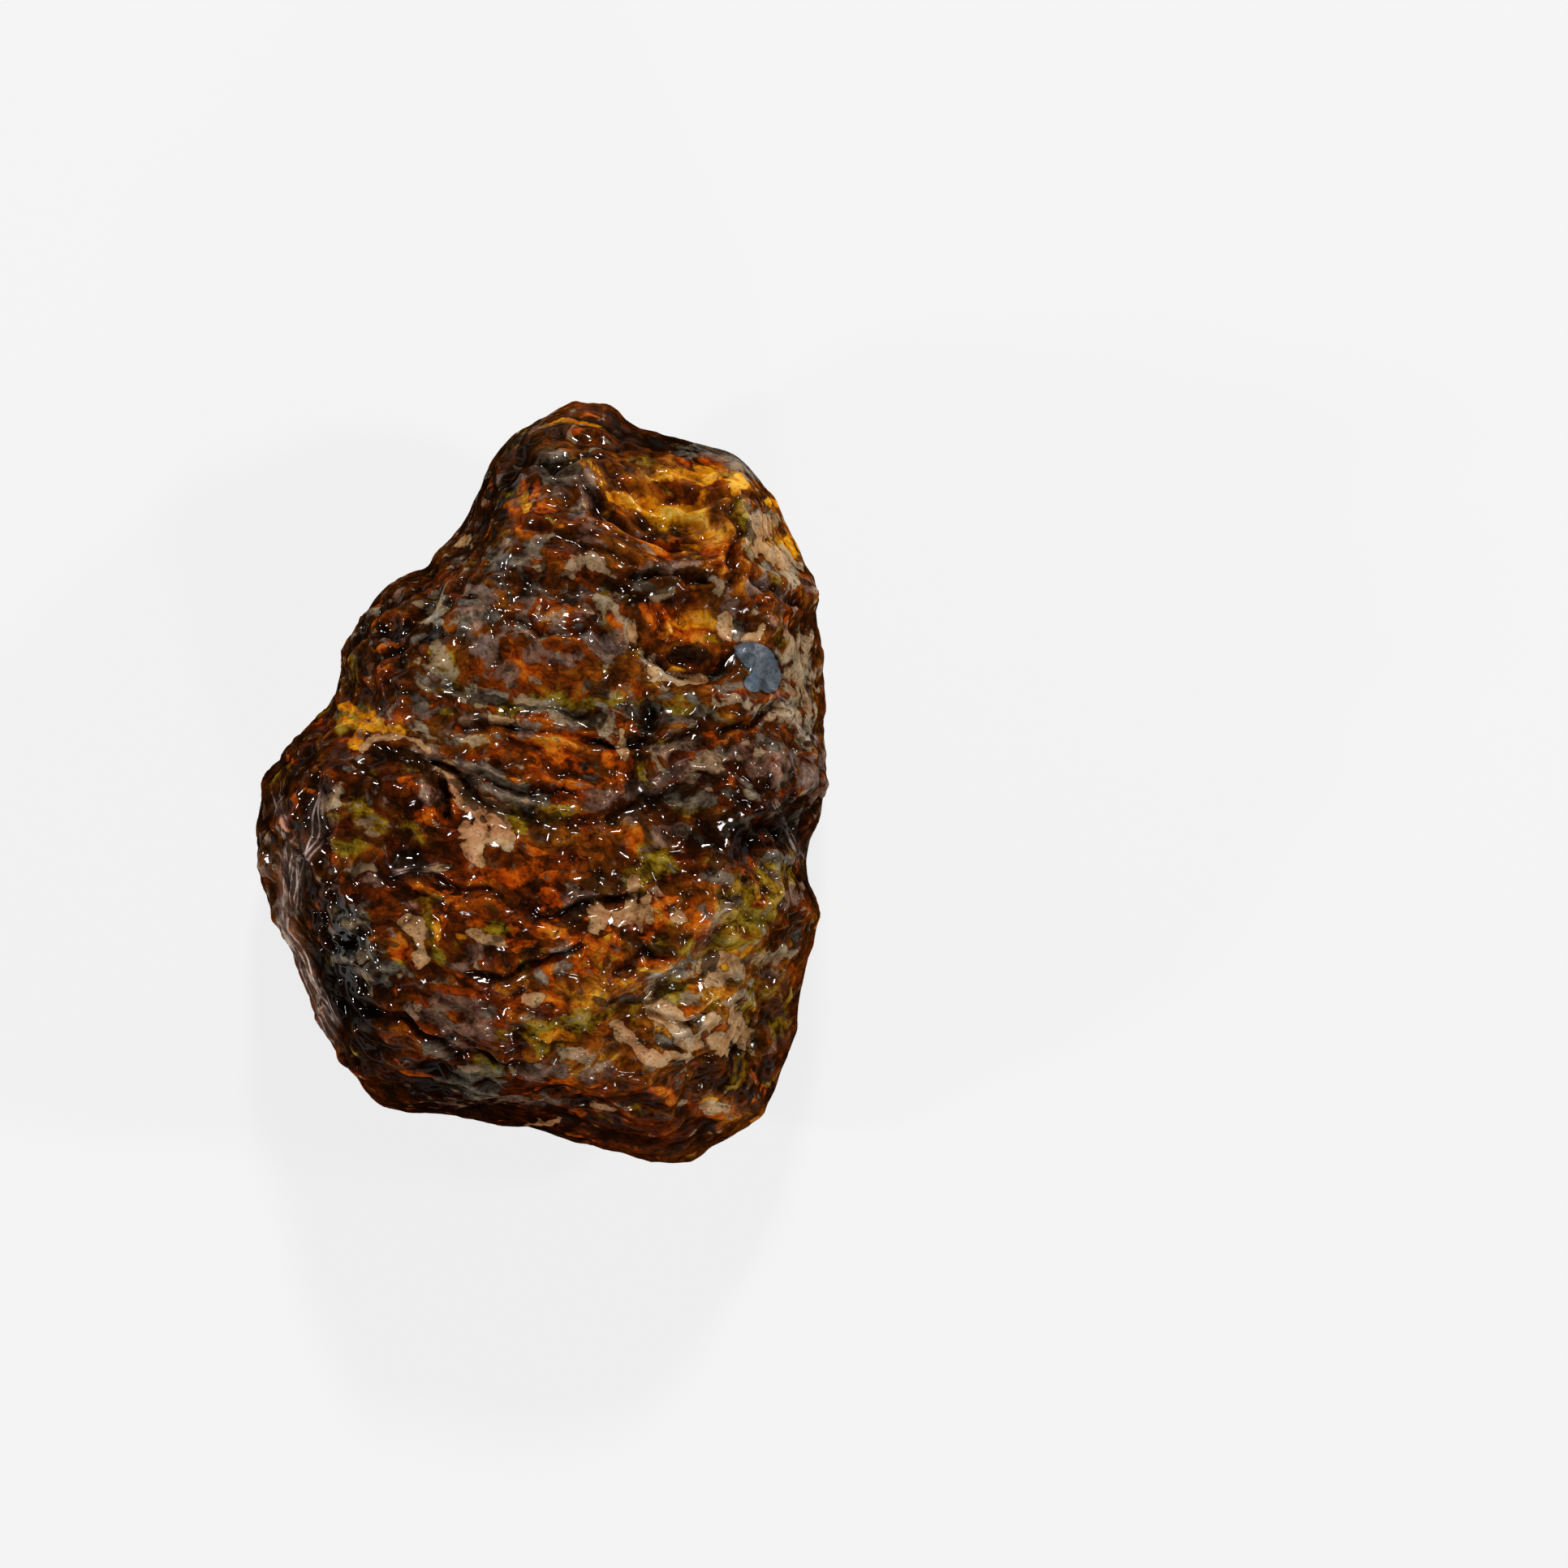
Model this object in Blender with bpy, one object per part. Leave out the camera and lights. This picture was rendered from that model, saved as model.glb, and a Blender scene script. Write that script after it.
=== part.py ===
"""Raw amber piece: one rough lump of amber in its crust, lying on its back on a worn flat.

The lump is a closed surface over a cube's six faces. Its outline, seen from above, is a smooth curve
through hand-set points. A rounded profile carries that outline up to the crown and down to the back,
and named lumps, hollows, folds, grooves and crests are then raised on it. Lengths are in millimetres
until the mesh is made, which is in metres, with +Z up and +Y along the lump.
"""

import bmesh
import bpy
import numpy as np

# Driving dimensions, in millimetres.
LENGTH = 30.2          # along Y
WIDTH = 22.6           # along X
CROWN = 12.3           # height of the plain profile over the middle; the lumps rise above it
WORN_DEPTH = 0.45      # how much of the rounded back is worn off flat
FLAT_SLACK = 0.03      # corners left within this height of the worn flat are put on it
HEART = (0.6, -0.4)    # the point in the outline that the profile is drawn from

# Fineness. The grid is drawn fine, and then thinned where the surface is flat.
GRID_STEPS = 72        # squares along each edge of the cube
FACE_LIMIT = 9200      # triangles left after thinning

METRES = 0.001

# The outline seen from above, counterclockwise from the right-hand side.
OUTLINE = (
    (11.3, 0.4), (11.2, 2.4), (11.3, 3.2), (11.1, 5.5), (11.0, 6.8), (11.1, 7.4), (10.8, 8.3),
    (10.2, 9.3), (9.7, 10.2), (9.4, 11.3), (8.8, 12.0), (8.0, 12.9), (7.1, 13.3), (5.5, 13.6),
    (4.4, 14.0), (3.5, 14.4), (3.0, 14.9), (2.4, 15.1), (1.2, 15.0), (0.0, 14.4), (-1.1, 13.6),
    (-1.9, 12.8), (-2.4, 11.6), (-3.1, 10.2), (-4.1, 9.2), (-4.5, 8.5), (-5.7, 8.0), (-6.5, 7.4),
    (-7.1, 6.6), (-7.9, 5.3), (-8.0, 4.5), (-8.3, 3.4), (-9.1, 2.3), (-10.0, 1.2), (-10.8, 0.2),
    (-11.2, -0.9), (-11.3, -2.3), (-11.1, -3.8), (-10.6, -5.3), (-10.0, -6.7), (-9.4, -8.0),
    (-8.8, -9.4), (-8.1, -10.7), (-7.4, -11.7), (-6.8, -12.5), (-5.5, -13.0), (-2.8, -13.4),
    (-0.5, -13.8), (1.1, -14.2), (3.7, -14.9), (4.6, -15.1), (5.6, -15.1), (6.3, -14.8),
    (6.8, -14.4), (7.8, -13.9), (8.7, -13.3), (9.0, -12.7), (9.6, -11.5), (10.1, -9.8),
    (10.4, -8.2), (10.9, -5.9), (11.1, -5.2), (10.8, -4.3), (10.6, -3.8), (10.5, -2.7),
    (10.9, -1.7), (11.1, -0.9),
)

# The profile at stations around the lump: direction in degrees, how boxy the shoulder is (an
# exponent), and the height at which the lump is widest.
PROFILE = (
    (0, 9.0, 4.5), (25, 7.0, 4.0), (50, 10.0, 5.0), (75, 9.0, 6.0), (97, 8.0, 6.5), (115, 7.0, 5.0),
    (135, 7.0, 4.5), (155, 6.0, 4.5), (175, 5.0, 4.0), (192, 4.5, 4.0), (215, 5.5, 4.0),
    (240, 8.0, 4.5), (265, 9.0, 4.0), (290, 9.0, 4.0), (310, 9.0, 4.5), (335, 10.0, 5.0),
)
RIM_ROUNDING = 1.4     # 1 leaves a crease where the lump is widest, 2 a full round
BACK_BOXINESS = 3.4

# Lumps and hollows of the upper side: x, y, half length, half width, turn in degrees, height.
LUMPS = {
    "lower lobe": (-1.5, -5.6, 6.4, 4.6, 10, 1.3),
    "left shoulder": (-6.4, -5.6, 2.2, 3.6, -5, 0.7),
    "left lobe": (-8.3, -0.9, 2.4, 2.6, 20, 1.0),
    "brow over the lower lobe": (-5.6, -0.3, 2.3, 1.4, -25, 0.7),
    "upper mass": (0.6, 5.8, 5.0, 3.4, -10, 1.0),
    "crest of the crown": (3.4, 12.6, 3.4, 1.3, -12, 0.8),
    "right crest": (7.6, 9.6, 1.0, 3.0, -6, 1.0),
    "shelf below the windows": (6.2, 3.3, 2.8, 0.8, -8, 0.6),
    "pebbled cheek": (8.9, 0.5, 2.0, 2.2, 0, 0.7),
    "resin bead": (7.1, -3.2, 0.6, 0.6, 0, 0.7),
    "lower right bead": (9.5, -2.6, 0.8, 0.6, 0, 0.5),
    "honey hollow": (5.0, 10.6, 2.7, 1.5, -14, -1.2),
    "upper window": (5.9, 6.5, 1.7, 0.8, -8, -1.0),
    "lower window": (6.1, 4.7, 1.7, 0.8, -4, -1.0),
    "dark throat": (4.4, 2.5, 0.5, 0.9, -20, -0.7),
    "dark hollow": (9.0, -2.0, 1.7, 0.9, 25, -0.8),
    "slope to the lower right": (8.6, -10.2, 4.6, 5.6, 20, -2.0),
    "slope to the upper left": (-3.6, 10.4, 2.6, 3.4, -30, -1.0),
    "lower left hollow": (-2.9, -10.6, 2.8, 1.3, -20, -0.6),
    "left dent": (-7.9, -7.4, 0.9, 2.0, 12, -0.6),
    "fall towards the knob": (2.4, 15.0, 5.0, 3.4, -15, -1.6),
    "fall towards the foot": (0.0, -14.2, 8.0, 2.2, -8, -0.9),
}

# Folds: the points of a seam, then its half width, how deep it is, and how high the upper lip stands.
FOLDS = {
    "main fold": (
        ((-8.2, 0.9), (-6.4, 1.9), (-4.7, 1.6), (-3.4, 0.5), (-1.5, -0.6), (1.1, -1.1), (3.0, -0.9),
         (5.6, 0.1), (7.7, 1.0), (9.6, 1.6)),
        0.6, -0.55, 0.9,
    ),
    "upper fold": (
        ((-4.8, 3.7), (-2.1, 3.6), (0.4, 3.1), (2.4, 2.7), (4.3, 2.6)),
        0.5, -0.3, 0.5,
    ),
    "crown fold": (
        ((-2.6, 8.4), (-0.4, 7.7), (1.6, 7.3), (3.9, 8.2), (6.4, 8.6)),
        0.5, -0.25, 0.45,
    ),
    "lower right fold": (
        ((1.2, -9.6), (2.4, -8.1), (4.5, -8.0), (6.0, -7.4), (6.7, -6.3), (8.2, -4.9)),
        0.5, -0.25, 0.7,
    ),
    "ledge above the foot": (
        ((-6.2, -11.7), (-3.4, -12.6), (-1.5, -12.4), (0.5, -12.0), (2.4, -12.6), (6.2, -13.5)),
        0.5, -0.2, 0.5,
    ),
}
LIP_REACH = 1.1        # how far a fold's raised lip fades over
FOLD_WANDER = (2.4, 0.7)    # wavelength and reach of the folds' wandering

# The crust's unevenness: wavelength and height of each layer of lumpy noise.
LUMPINESS = ((5.2, 0.60), (2.6, 0.50), (1.3, 0.28))
RIM_SHARE = 0.3        # share of the unevenness left at the outline, which is already drawn
UPPER_SHARE = 0.25     # how much of the grid is moved from the back to the upper side


def smooth(low, high, value):
    """0 below low, 1 above high, and an S-curve between."""
    share = np.clip((value - low) / (high - low), 0, 1)
    return share * share * (3 - 2 * share)


def corner_value(cell, seed):
    """A repeatable number from -1 to 1 for each whole-numbered lattice point."""
    x, y, z = (cell[..., i].astype(np.uint32) for i in range(3))
    mixed = x * np.uint32(73856093) ^ y * np.uint32(19349663) ^ z * np.uint32(83492791)
    mixed = mixed ^ np.uint32(seed * 2654435761 % 2**32)
    for shift, factor in ((16, 2246822519), (13, 3266489917), (16, 668265263)):
        mixed = (mixed ^ (mixed >> np.uint32(shift))) * np.uint32(factor)
    return mixed.astype(float) / 2**31 - 1


def gradient_noise(points, seed):
    """Perlin's noise: lattice corners hold slopes, and an S-curve blends the eight around a point."""
    cell = np.floor(points).astype(np.int64)
    within = points - cell
    ease = within**3 * (within * (within * 6 - 15) + 10)
    total = np.zeros(len(points))
    for corner in np.ndindex(2, 2, 2):
        offset = np.array(corner)
        share = np.prod(np.where(offset, ease, 1 - ease), axis=1)
        slopes = np.stack([corner_value(cell + offset, seed * 3 + i) for i in range(3)], axis=1)
        total += share * np.sum(slopes * (within - offset), axis=1)
    return total


def outline_radius(direction):
    """Distance from HEART to the outline: a Catmull-Rom curve through OUTLINE, read by direction."""
    ring = np.array(OUTLINE)
    ring = ring * (WIDTH, LENGTH) / np.ptp(ring, axis=0)
    before, after, beyond = (np.roll(ring, shift, axis=0) for shift in (1, -1, -2))
    steps = np.arange(0, 1, 0.05)[:, None, None]
    curve = 0.5 * (
        2 * ring
        + (after - before) * steps
        + (2 * before - 5 * ring + 4 * after - beyond) * steps**2
        + (3 * ring - before - 3 * after + beyond) * steps**3
    )
    arm = curve.transpose(1, 0, 2).reshape(-1, 2) - HEART
    angle = np.arctan2(arm[:, 1], arm[:, 0])
    order = np.argsort(angle)
    return np.interp(direction, angle[order], np.hypot(*arm.T)[order], period=2 * np.pi)


def profile_value(direction, column):
    """A column of PROFILE at each direction, eased from station to station."""
    stations = np.radians([row[0] for row in PROFILE])
    index = np.interp(direction % (2 * np.pi), [*stations, 2 * np.pi], np.arange(len(PROFILE) + 1))
    low = np.floor(index).astype(int)
    share = smooth(0, 1, index - low)
    values = np.array([row[column] for row in PROFILE], float)
    return values[low % len(values)] * (1 - share) + values[(low + 1) % len(values)] * share


def even_reach(share):
    """Share of the radius for an even step along a typical profile from the crown (0) to the rim (1)."""
    reach = np.linspace(0, 1, 400)
    height = 0.75 * (1 - reach**5) ** (1 / RIM_ROUNDING)
    travelled = np.concatenate([[0], np.cumsum(np.hypot(np.diff(reach), np.diff(height)))])
    return np.interp(share, travelled / travelled[-1], reach)


def plain_form(way):
    """The lump without its relief, for unit vectors: outline x profile, upper side and back."""
    direction = np.arctan2(way[:, 1], way[:, 0])
    rise = np.arcsin(np.clip(way[:, 2], -1, 1)) / (np.pi / 2)
    rise += UPPER_SHARE * (1 - rise**2)
    reach = even_reach(1 - np.abs(rise))
    radius = outline_radius(direction) * reach
    boxiness = profile_value(direction, 1)
    rim = profile_value(direction, 2)
    above = (1 - reach**boxiness) ** (1 / RIM_ROUNDING)
    below = (1 - reach**BACK_BOXINESS) ** (1 / RIM_ROUNDING)
    height = np.where(rise > 0, rim + (CROWN - rim) * above, rim * (1 - below))
    flat = np.stack([np.cos(direction), np.sin(direction)], axis=1) * radius[:, None] + HEART
    return np.column_stack([flat, height]), rim


def lump_height(spot, lump):
    """A smooth mound or hollow: height x exp(-(along^2 + across^2)) in the lump's own turned axes."""
    x, y, half_length, half_width, turn, height = lump
    cosine, sine = np.cos(np.radians(turn)), np.sin(np.radians(turn))
    dx, dy = spot[:, 0] - x, spot[:, 1] - y
    along = (dx * cosine + dy * sine) / half_length
    across = (dy * cosine - dx * sine) / half_width
    return height * np.exp(-(along**2 + across**2))


def seam_distance(spot, points):
    """For each spot: how far a line of points is, its side of it (1 above, -1 below), how far along."""
    nearest = np.full(len(spot), np.inf)
    side, along = np.zeros(len(spot)), np.zeros(len(spot))
    for index, (start, end) in enumerate(zip(np.array(points[:-1]), np.array(points[1:]))):
        run = end - start
        arm = spot - start
        share = np.clip(arm @ run / (run @ run), 0, 1)
        away = arm - share[:, None] * run
        distance = np.hypot(*away.T)
        closer = distance < nearest
        nearest = np.where(closer, distance, nearest)
        side = np.where(closer, np.sign(run[0] * arm[:, 1] - run[1] * arm[:, 0]), side)
        along = np.where(closer, (index + share) / (len(points) - 1), along)
    return nearest, side, along


def fold_height(spot, fold):
    """A groove along the seam, exp(-(d / width)^2), under a lip on its upper side, fading at both ends."""
    points, half_width, depth, lip = fold
    distance, side, along = seam_distance(spot, points)
    groove = depth * np.exp(-((distance / half_width) ** 2))
    raised = lip * np.exp(-distance / LIP_REACH) * smooth(-half_width, half_width, side * distance)
    return (groove + raised) * smooth(0, 0.2, along) * smooth(0, 0.2, 1 - along)


def relief(base, rim):
    """How far each point of the plain form is moved outwards: placed features, then lumpy noise."""
    spot = base[:, :2]
    wavelength, reach = FOLD_WANDER
    drift = np.column_stack([gradient_noise(base / wavelength, 50 + i) for i in range(2)])
    placed = sum(lump_height(spot, lump) for lump in LUMPS.values())
    placed = placed + sum(fold_height(spot + reach * drift, fold) for fold in FOLDS.values())
    upper = smooth(0, 4, base[:, 2] - rim)
    from_rim = smooth(0, 3.5, np.abs(base[:, 2] - rim))
    noise = np.zeros(len(base))
    for seed, (wavelength, height) in enumerate(LUMPINESS):
        layer = gradient_noise(base / wavelength, seed)
        noise += height * (0.35 - 1.6 * np.abs(layer))
    return placed * upper + noise * (RIM_SHARE + (1 - RIM_SHARE) * from_rim)


def lump_points(way):
    """The finished surface: relief pushes away from an inner spine, and the back is worn flat at 0."""
    base, rim = plain_form(way)
    spine = np.column_stack([HEART + 0.55 * (base[:, :2] - HEART), np.full(len(base), 5.0)])
    outwards = base - spine
    outwards /= np.linalg.norm(outwards, axis=1)[:, None]
    points = base + outwards * relief(base, rim)[:, None]
    points[:, 2] = np.maximum(points[:, 2] - WORN_DEPTH, 0)
    return points


def amber_mesh():
    """A cube cut into a grid, its corners sent out to the lump's surface, thinned and capped flat."""
    bm = bmesh.new()
    bmesh.ops.create_cube(bm, size=2)
    bmesh.ops.subdivide_edges(bm, edges=bm.edges[:], cuts=GRID_STEPS - 1, use_grid_fill=True)
    cube = np.array([vert.co for vert in bm.verts], float)
    way = np.tan(cube * np.pi / 4)
    way /= np.linalg.norm(way, axis=1)[:, None]
    for vert, point in zip(bm.verts, lump_points(way)):
        vert.co = point * METRES
    bmesh.ops.recalc_face_normals(bm, faces=bm.faces[:])
    mesh = bpy.data.meshes.new("amber_piece")
    bm.to_mesh(mesh)
    bm.free()
    return mesh


def thin(obj):
    """Decimate to FACE_LIMIT triangles, then join the triangles of the worn flat into one face."""
    modifier = obj.modifiers.new("thin", "DECIMATE")
    modifier.ratio = FACE_LIMIT / (12 * GRID_STEPS**2)
    modifier.use_collapse_triangulate = True
    mesh = bpy.data.meshes.new_from_object(obj.evaluated_get(bpy.context.evaluated_depsgraph_get()))
    obj.modifiers.clear()
    bm = bmesh.new()
    bm.from_mesh(mesh)
    for vert in bm.verts:
        if vert.co.z < FLAT_SLACK * METRES:
            vert.co.z = 0
    worn = [face for face in bm.faces if all(vert.co.z == 0 for vert in face.verts)]
    bmesh.ops.dissolve_faces(bm, faces=worn, use_verts=True)
    bm.to_mesh(mesh)
    bm.free()
    mesh.name = "amber_piece"
    obj.data = mesh


def amber_material():
    """Dark brown amber under a wet-looking skin."""
    material = bpy.data.materials.new("raw amber")
    material.use_nodes = True
    shader = material.node_tree.nodes["Principled BSDF"]
    shader.inputs["Base Color"].default_value = (0.11, 0.040, 0.012, 1)
    shader.inputs["Roughness"].default_value = 0.18
    shader.inputs["Metallic"].default_value = 0.0
    shader.inputs["IOR"].default_value = 1.54
    return material


def main():
    for obj in list(bpy.data.objects):
        bpy.data.objects.remove(obj, do_unlink=True)
    piece = bpy.data.objects.new("amber_piece", amber_mesh())
    bpy.context.scene.collection.objects.link(piece)
    bpy.context.view_layer.update()
    thin(piece)
    piece.data.materials.append(amber_material())
    piece.data.shade_smooth()


main()
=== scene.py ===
"""The looks of a raw amber piece: a wrinkled, wet-looking lump of marbled amber crust, seen from above.

The lump's surface is worked out with numpy on the six square grids of a cube. The plain form, its named
lumps and its folds are the same as in the solid part, and wrinkles, creases, pebbles and beads are added.
Lengths are in millimetres until a mesh, lamp or camera is made, which is in metres.

A place on the upper side is an oval: x, y, half its length, half its width, and its turn in degrees where
it has one. Where a height or a share stands first, it is reached in the middle and fades outwards.
"""

import bpy
import numpy as np
from bpy.props import FloatProperty, FloatVectorProperty, IntProperty, PointerProperty
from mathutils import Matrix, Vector


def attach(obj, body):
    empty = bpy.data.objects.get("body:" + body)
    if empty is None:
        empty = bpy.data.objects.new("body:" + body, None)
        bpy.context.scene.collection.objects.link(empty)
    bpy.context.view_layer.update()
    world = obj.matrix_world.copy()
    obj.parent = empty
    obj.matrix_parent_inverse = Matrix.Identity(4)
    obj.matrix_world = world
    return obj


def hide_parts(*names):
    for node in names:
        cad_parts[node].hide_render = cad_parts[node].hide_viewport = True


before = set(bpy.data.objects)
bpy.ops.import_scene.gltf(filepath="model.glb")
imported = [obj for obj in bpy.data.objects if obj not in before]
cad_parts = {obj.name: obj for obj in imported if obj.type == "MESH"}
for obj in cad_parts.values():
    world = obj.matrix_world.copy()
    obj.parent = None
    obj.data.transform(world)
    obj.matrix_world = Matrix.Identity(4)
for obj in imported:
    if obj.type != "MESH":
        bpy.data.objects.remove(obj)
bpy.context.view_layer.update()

bl_info = {
    "name": "Raw Amber Piece",
    "version": (1, 0, 0),
    "blender": (4, 5, 0),
    "location": "3D View > Sidebar > Amber",
    "description": "Makes a marbled lump of raw amber and a plain studio around it",
    "category": "Add Mesh",
}

NODE = "amber_piece"
METRES = 0.001

# ---- The form, in millimetres, as in the solid part ----

LENGTH = 30.2          # along Y
WIDTH = 22.6           # along X
CROWN = 12.3           # height of the plain profile over the middle; the lumps rise above it
WORN_DEPTH = 0.45      # how much of the rounded back is worn off flat
HEART = (0.6, -0.4)    # the point in the outline that the profile is drawn from

# The outline seen from above, counterclockwise from the right-hand side.
OUTLINE = (
    (11.3, 0.4), (11.2, 2.4), (11.3, 3.2), (11.1, 5.5), (11, 6.8), (11.1, 7.4), (10.8, 8.3), (10.2, 9.3),
    (9.7, 10.2), (9.4, 11.3), (8.8, 12), (8, 12.9), (7.1, 13.3), (5.5, 13.6), (4.4, 14), (3.5, 14.4),
    (3, 14.9), (2.4, 15.1), (1.2, 15), (0, 14.4), (-1.1, 13.6), (-1.9, 12.8), (-2.4, 11.6), (-3.1, 10.2),
    (-4.1, 9.2), (-4.5, 8.5), (-5.7, 8), (-6.5, 7.4), (-7.1, 6.6), (-7.9, 5.3), (-8, 4.5), (-8.3, 3.4),
    (-9.1, 2.3), (-10, 1.2), (-10.8, 0.2), (-11.2, -0.9), (-11.3, -2.3), (-11.1, -3.8), (-10.6, -5.3),
    (-10, -6.7), (-9.4, -8), (-8.8, -9.4), (-8.1, -10.7), (-7.4, -11.7), (-6.8, -12.5), (-5.5, -13),
    (-2.8, -13.4), (-0.5, -13.8), (1.1, -14.2), (3.7, -14.9), (4.6, -15.1), (5.6, -15.1), (6.3, -14.8),
    (6.8, -14.4), (7.8, -13.9), (8.7, -13.3), (9, -12.7), (9.6, -11.5), (10.1, -9.8), (10.4, -8.2),
    (10.9, -5.9), (11.1, -5.2), (10.8, -4.3), (10.6, -3.8), (10.5, -2.7), (10.9, -1.7), (11.1, -0.9),
)

# The profile at stations around the lump: direction in degrees, how boxy the shoulder is (an
# exponent), and the height at which the lump is widest.
PROFILE = (
    (0, 9, 4.5), (25, 7, 4), (50, 10, 5), (75, 9, 6), (97, 8, 6.5), (115, 7, 5), (135, 7, 4.5),
    (155, 6, 4.5), (175, 5, 4), (192, 4.5, 4), (215, 5.5, 4), (240, 8, 4.5), (265, 9, 4), (290, 9, 4),
    (310, 9, 4.5), (335, 10, 5),
)
RIM_ROUNDING = 1.4     # 1 leaves a crease where the lump is widest, 2 a full round
BACK_BOXINESS = 3.4
CROWN_RISE = (0.75, 5)    # height, by the radius, and boxiness of the profile that the grid is spaced by
UPPER_SHARE = 0.25     # how much of the grid is moved from the back to the upper side
SPINE = (0.55, 5.0)    # the relief pushes away from here: share of the outline, and height

# Lumps and hollows of the upper side: height, then the place.
LUMPS = {
    "lower lobe": (1.3, -1.5, -5.6, 6.4, 4.6, 10), "left shoulder": (0.7, -6.4, -5.6, 2.2, 3.6, -5),
    "left lobe": (1, -8.3, -0.9, 2.4, 2.6, 20), "brow over the lower lobe": (0.7, -5.6, -0.3, 2.3, 1.4, -25),
    "upper mass": (1, 0.6, 5.8, 5, 3.4, -10), "crest of the crown": (0.8, 3.4, 12.6, 3.4, 1.3, -12),
    "right crest": (1, 7.6, 9.6, 1, 3, -6), "shelf below the windows": (0.6, 6.2, 3.3, 2.8, 0.8, -8),
    "pebbled cheek": (0.7, 8.9, 0.5, 2, 2.2), "resin bead": (0.7, 7.1, -3.2, 0.6, 0.6),
    "lower right bead": (0.5, 9.5, -2.6, 0.8, 0.6), "honey hollow": (-1.2, 5, 10.6, 2.7, 1.5, -14),
    "upper window": (-1, 5.9, 6.5, 1.7, 0.8, -8), "lower window": (-1, 6.1, 4.7, 1.7, 0.8, -4),
    "dark throat": (-0.7, 4.4, 2.5, 0.5, 0.9, -20), "dark hollow": (-0.8, 9, -2, 1.7, 0.9, 25),
    "slope to the lower right": (-2, 8.6, -10.2, 4.6, 5.6, 20),
    "slope to the upper left": (-1, -3.6, 10.4, 2.6, 3.4, -30),
    "lower left hollow": (-0.6, -2.9, -10.6, 2.8, 1.3, -20), "left dent": (-0.6, -7.9, -7.4, 0.9, 2, 12),
    "fall towards the knob": (-1.6, 2.4, 15, 5, 3.4, -15),
    "fall towards the foot": (-0.9, 0, -14.2, 8, 2.2, -8),
}

# Folds: the half width of the seam, its depth, how high its upper lip stands, then its points.
FOLDS = {
    "main fold": (
        0.6, -0.55, 0.9, (-8.2, 0.9), (-6.4, 1.9), (-4.7, 1.6), (-3.4, 0.5), (-1.5, -0.6), (1.1, -1.1),
        (3, -0.9), (5.6, 0.1), (7.7, 1), (9.6, 1.6),
    ),
    "upper fold": (0.5, -0.3, 0.5, (-4.8, 3.7), (-2.1, 3.6), (0.4, 3.1), (2.4, 2.7), (4.3, 2.6)),
    "crown fold": (0.5, -0.25, 0.45, (-2.6, 8.4), (-0.4, 7.7), (1.6, 7.3), (3.9, 8.2), (6.4, 8.6)),
    "lower right fold": (
        0.5, -0.25, 0.7, (1.2, -9.6), (2.4, -8.1), (4.5, -8), (6, -7.4), (6.7, -6.3), (8.2, -4.9),
    ),
    "ledge above the foot": (
        0.5, -0.2, 0.5, (-6.2, -11.7), (-3.4, -12.6), (-1.5, -12.4), (0.5, -12), (2.4, -12.6), (6.2, -13.5),
    ),
}
LIP_REACH = 1.1        # how far a fold's raised lip fades over
FOLD_ENDS = 0.2        # share of its length that a fold fades over at each end
FOLD_WANDER = (2.4, 0.7)    # wavelength and reach of the folds' wandering

# The crust's unevenness: wavelength and height of each layer of lumpy noise.
LUMPINESS = ((5.2, 0.60), (2.6, 0.50), (1.3, 0.28))
RIDGE_GAIN = 1.6       # noise x 1.6, without its sign, is RIDGE_MIDDLE on average
RIDGE_MIDDLE = 0.35
RIM_SHARE = 0.3        # share of the unevenness left at the outline, which is already drawn
UPPER_FADE = 4.0       # the named places come in over this height above where the lump is widest
RIM_FADE = 3.5         # and the unevenness, over this height above and below

# ---- Finer relief, in millimetres ----

# Wavelength and height of each layer of creased wrinkles, with sharp valleys.
WRINKLES = ((1.60, 0.34), (0.85, 0.22), (0.45, 0.09))
WRINKLE_STRETCH = 1.7    # wrinkles are this much longer along the folds than across
WRINKLE_TURN = -18       # degrees: the way most folds run, seen from above
FINE_WANDER = (1.1, 0.5)    # wavelength and reach of the fine relief's wandering
FINE_RIM_SHARE = 0.35    # share of the fine relief left at the outline
PEBBLE_SIZE, PEBBLE_HEIGHT = 0.85, 0.26
BEAD_SIZE, BEAD_HEIGHT, MOST_BEADED = 0.42, 0.13, 2.3
DOME_MIDDLE = 0.6        # the domes' height on average
LINE_ENDS = 0.15         # share of its length that a crease or thread fades over at each end

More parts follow.
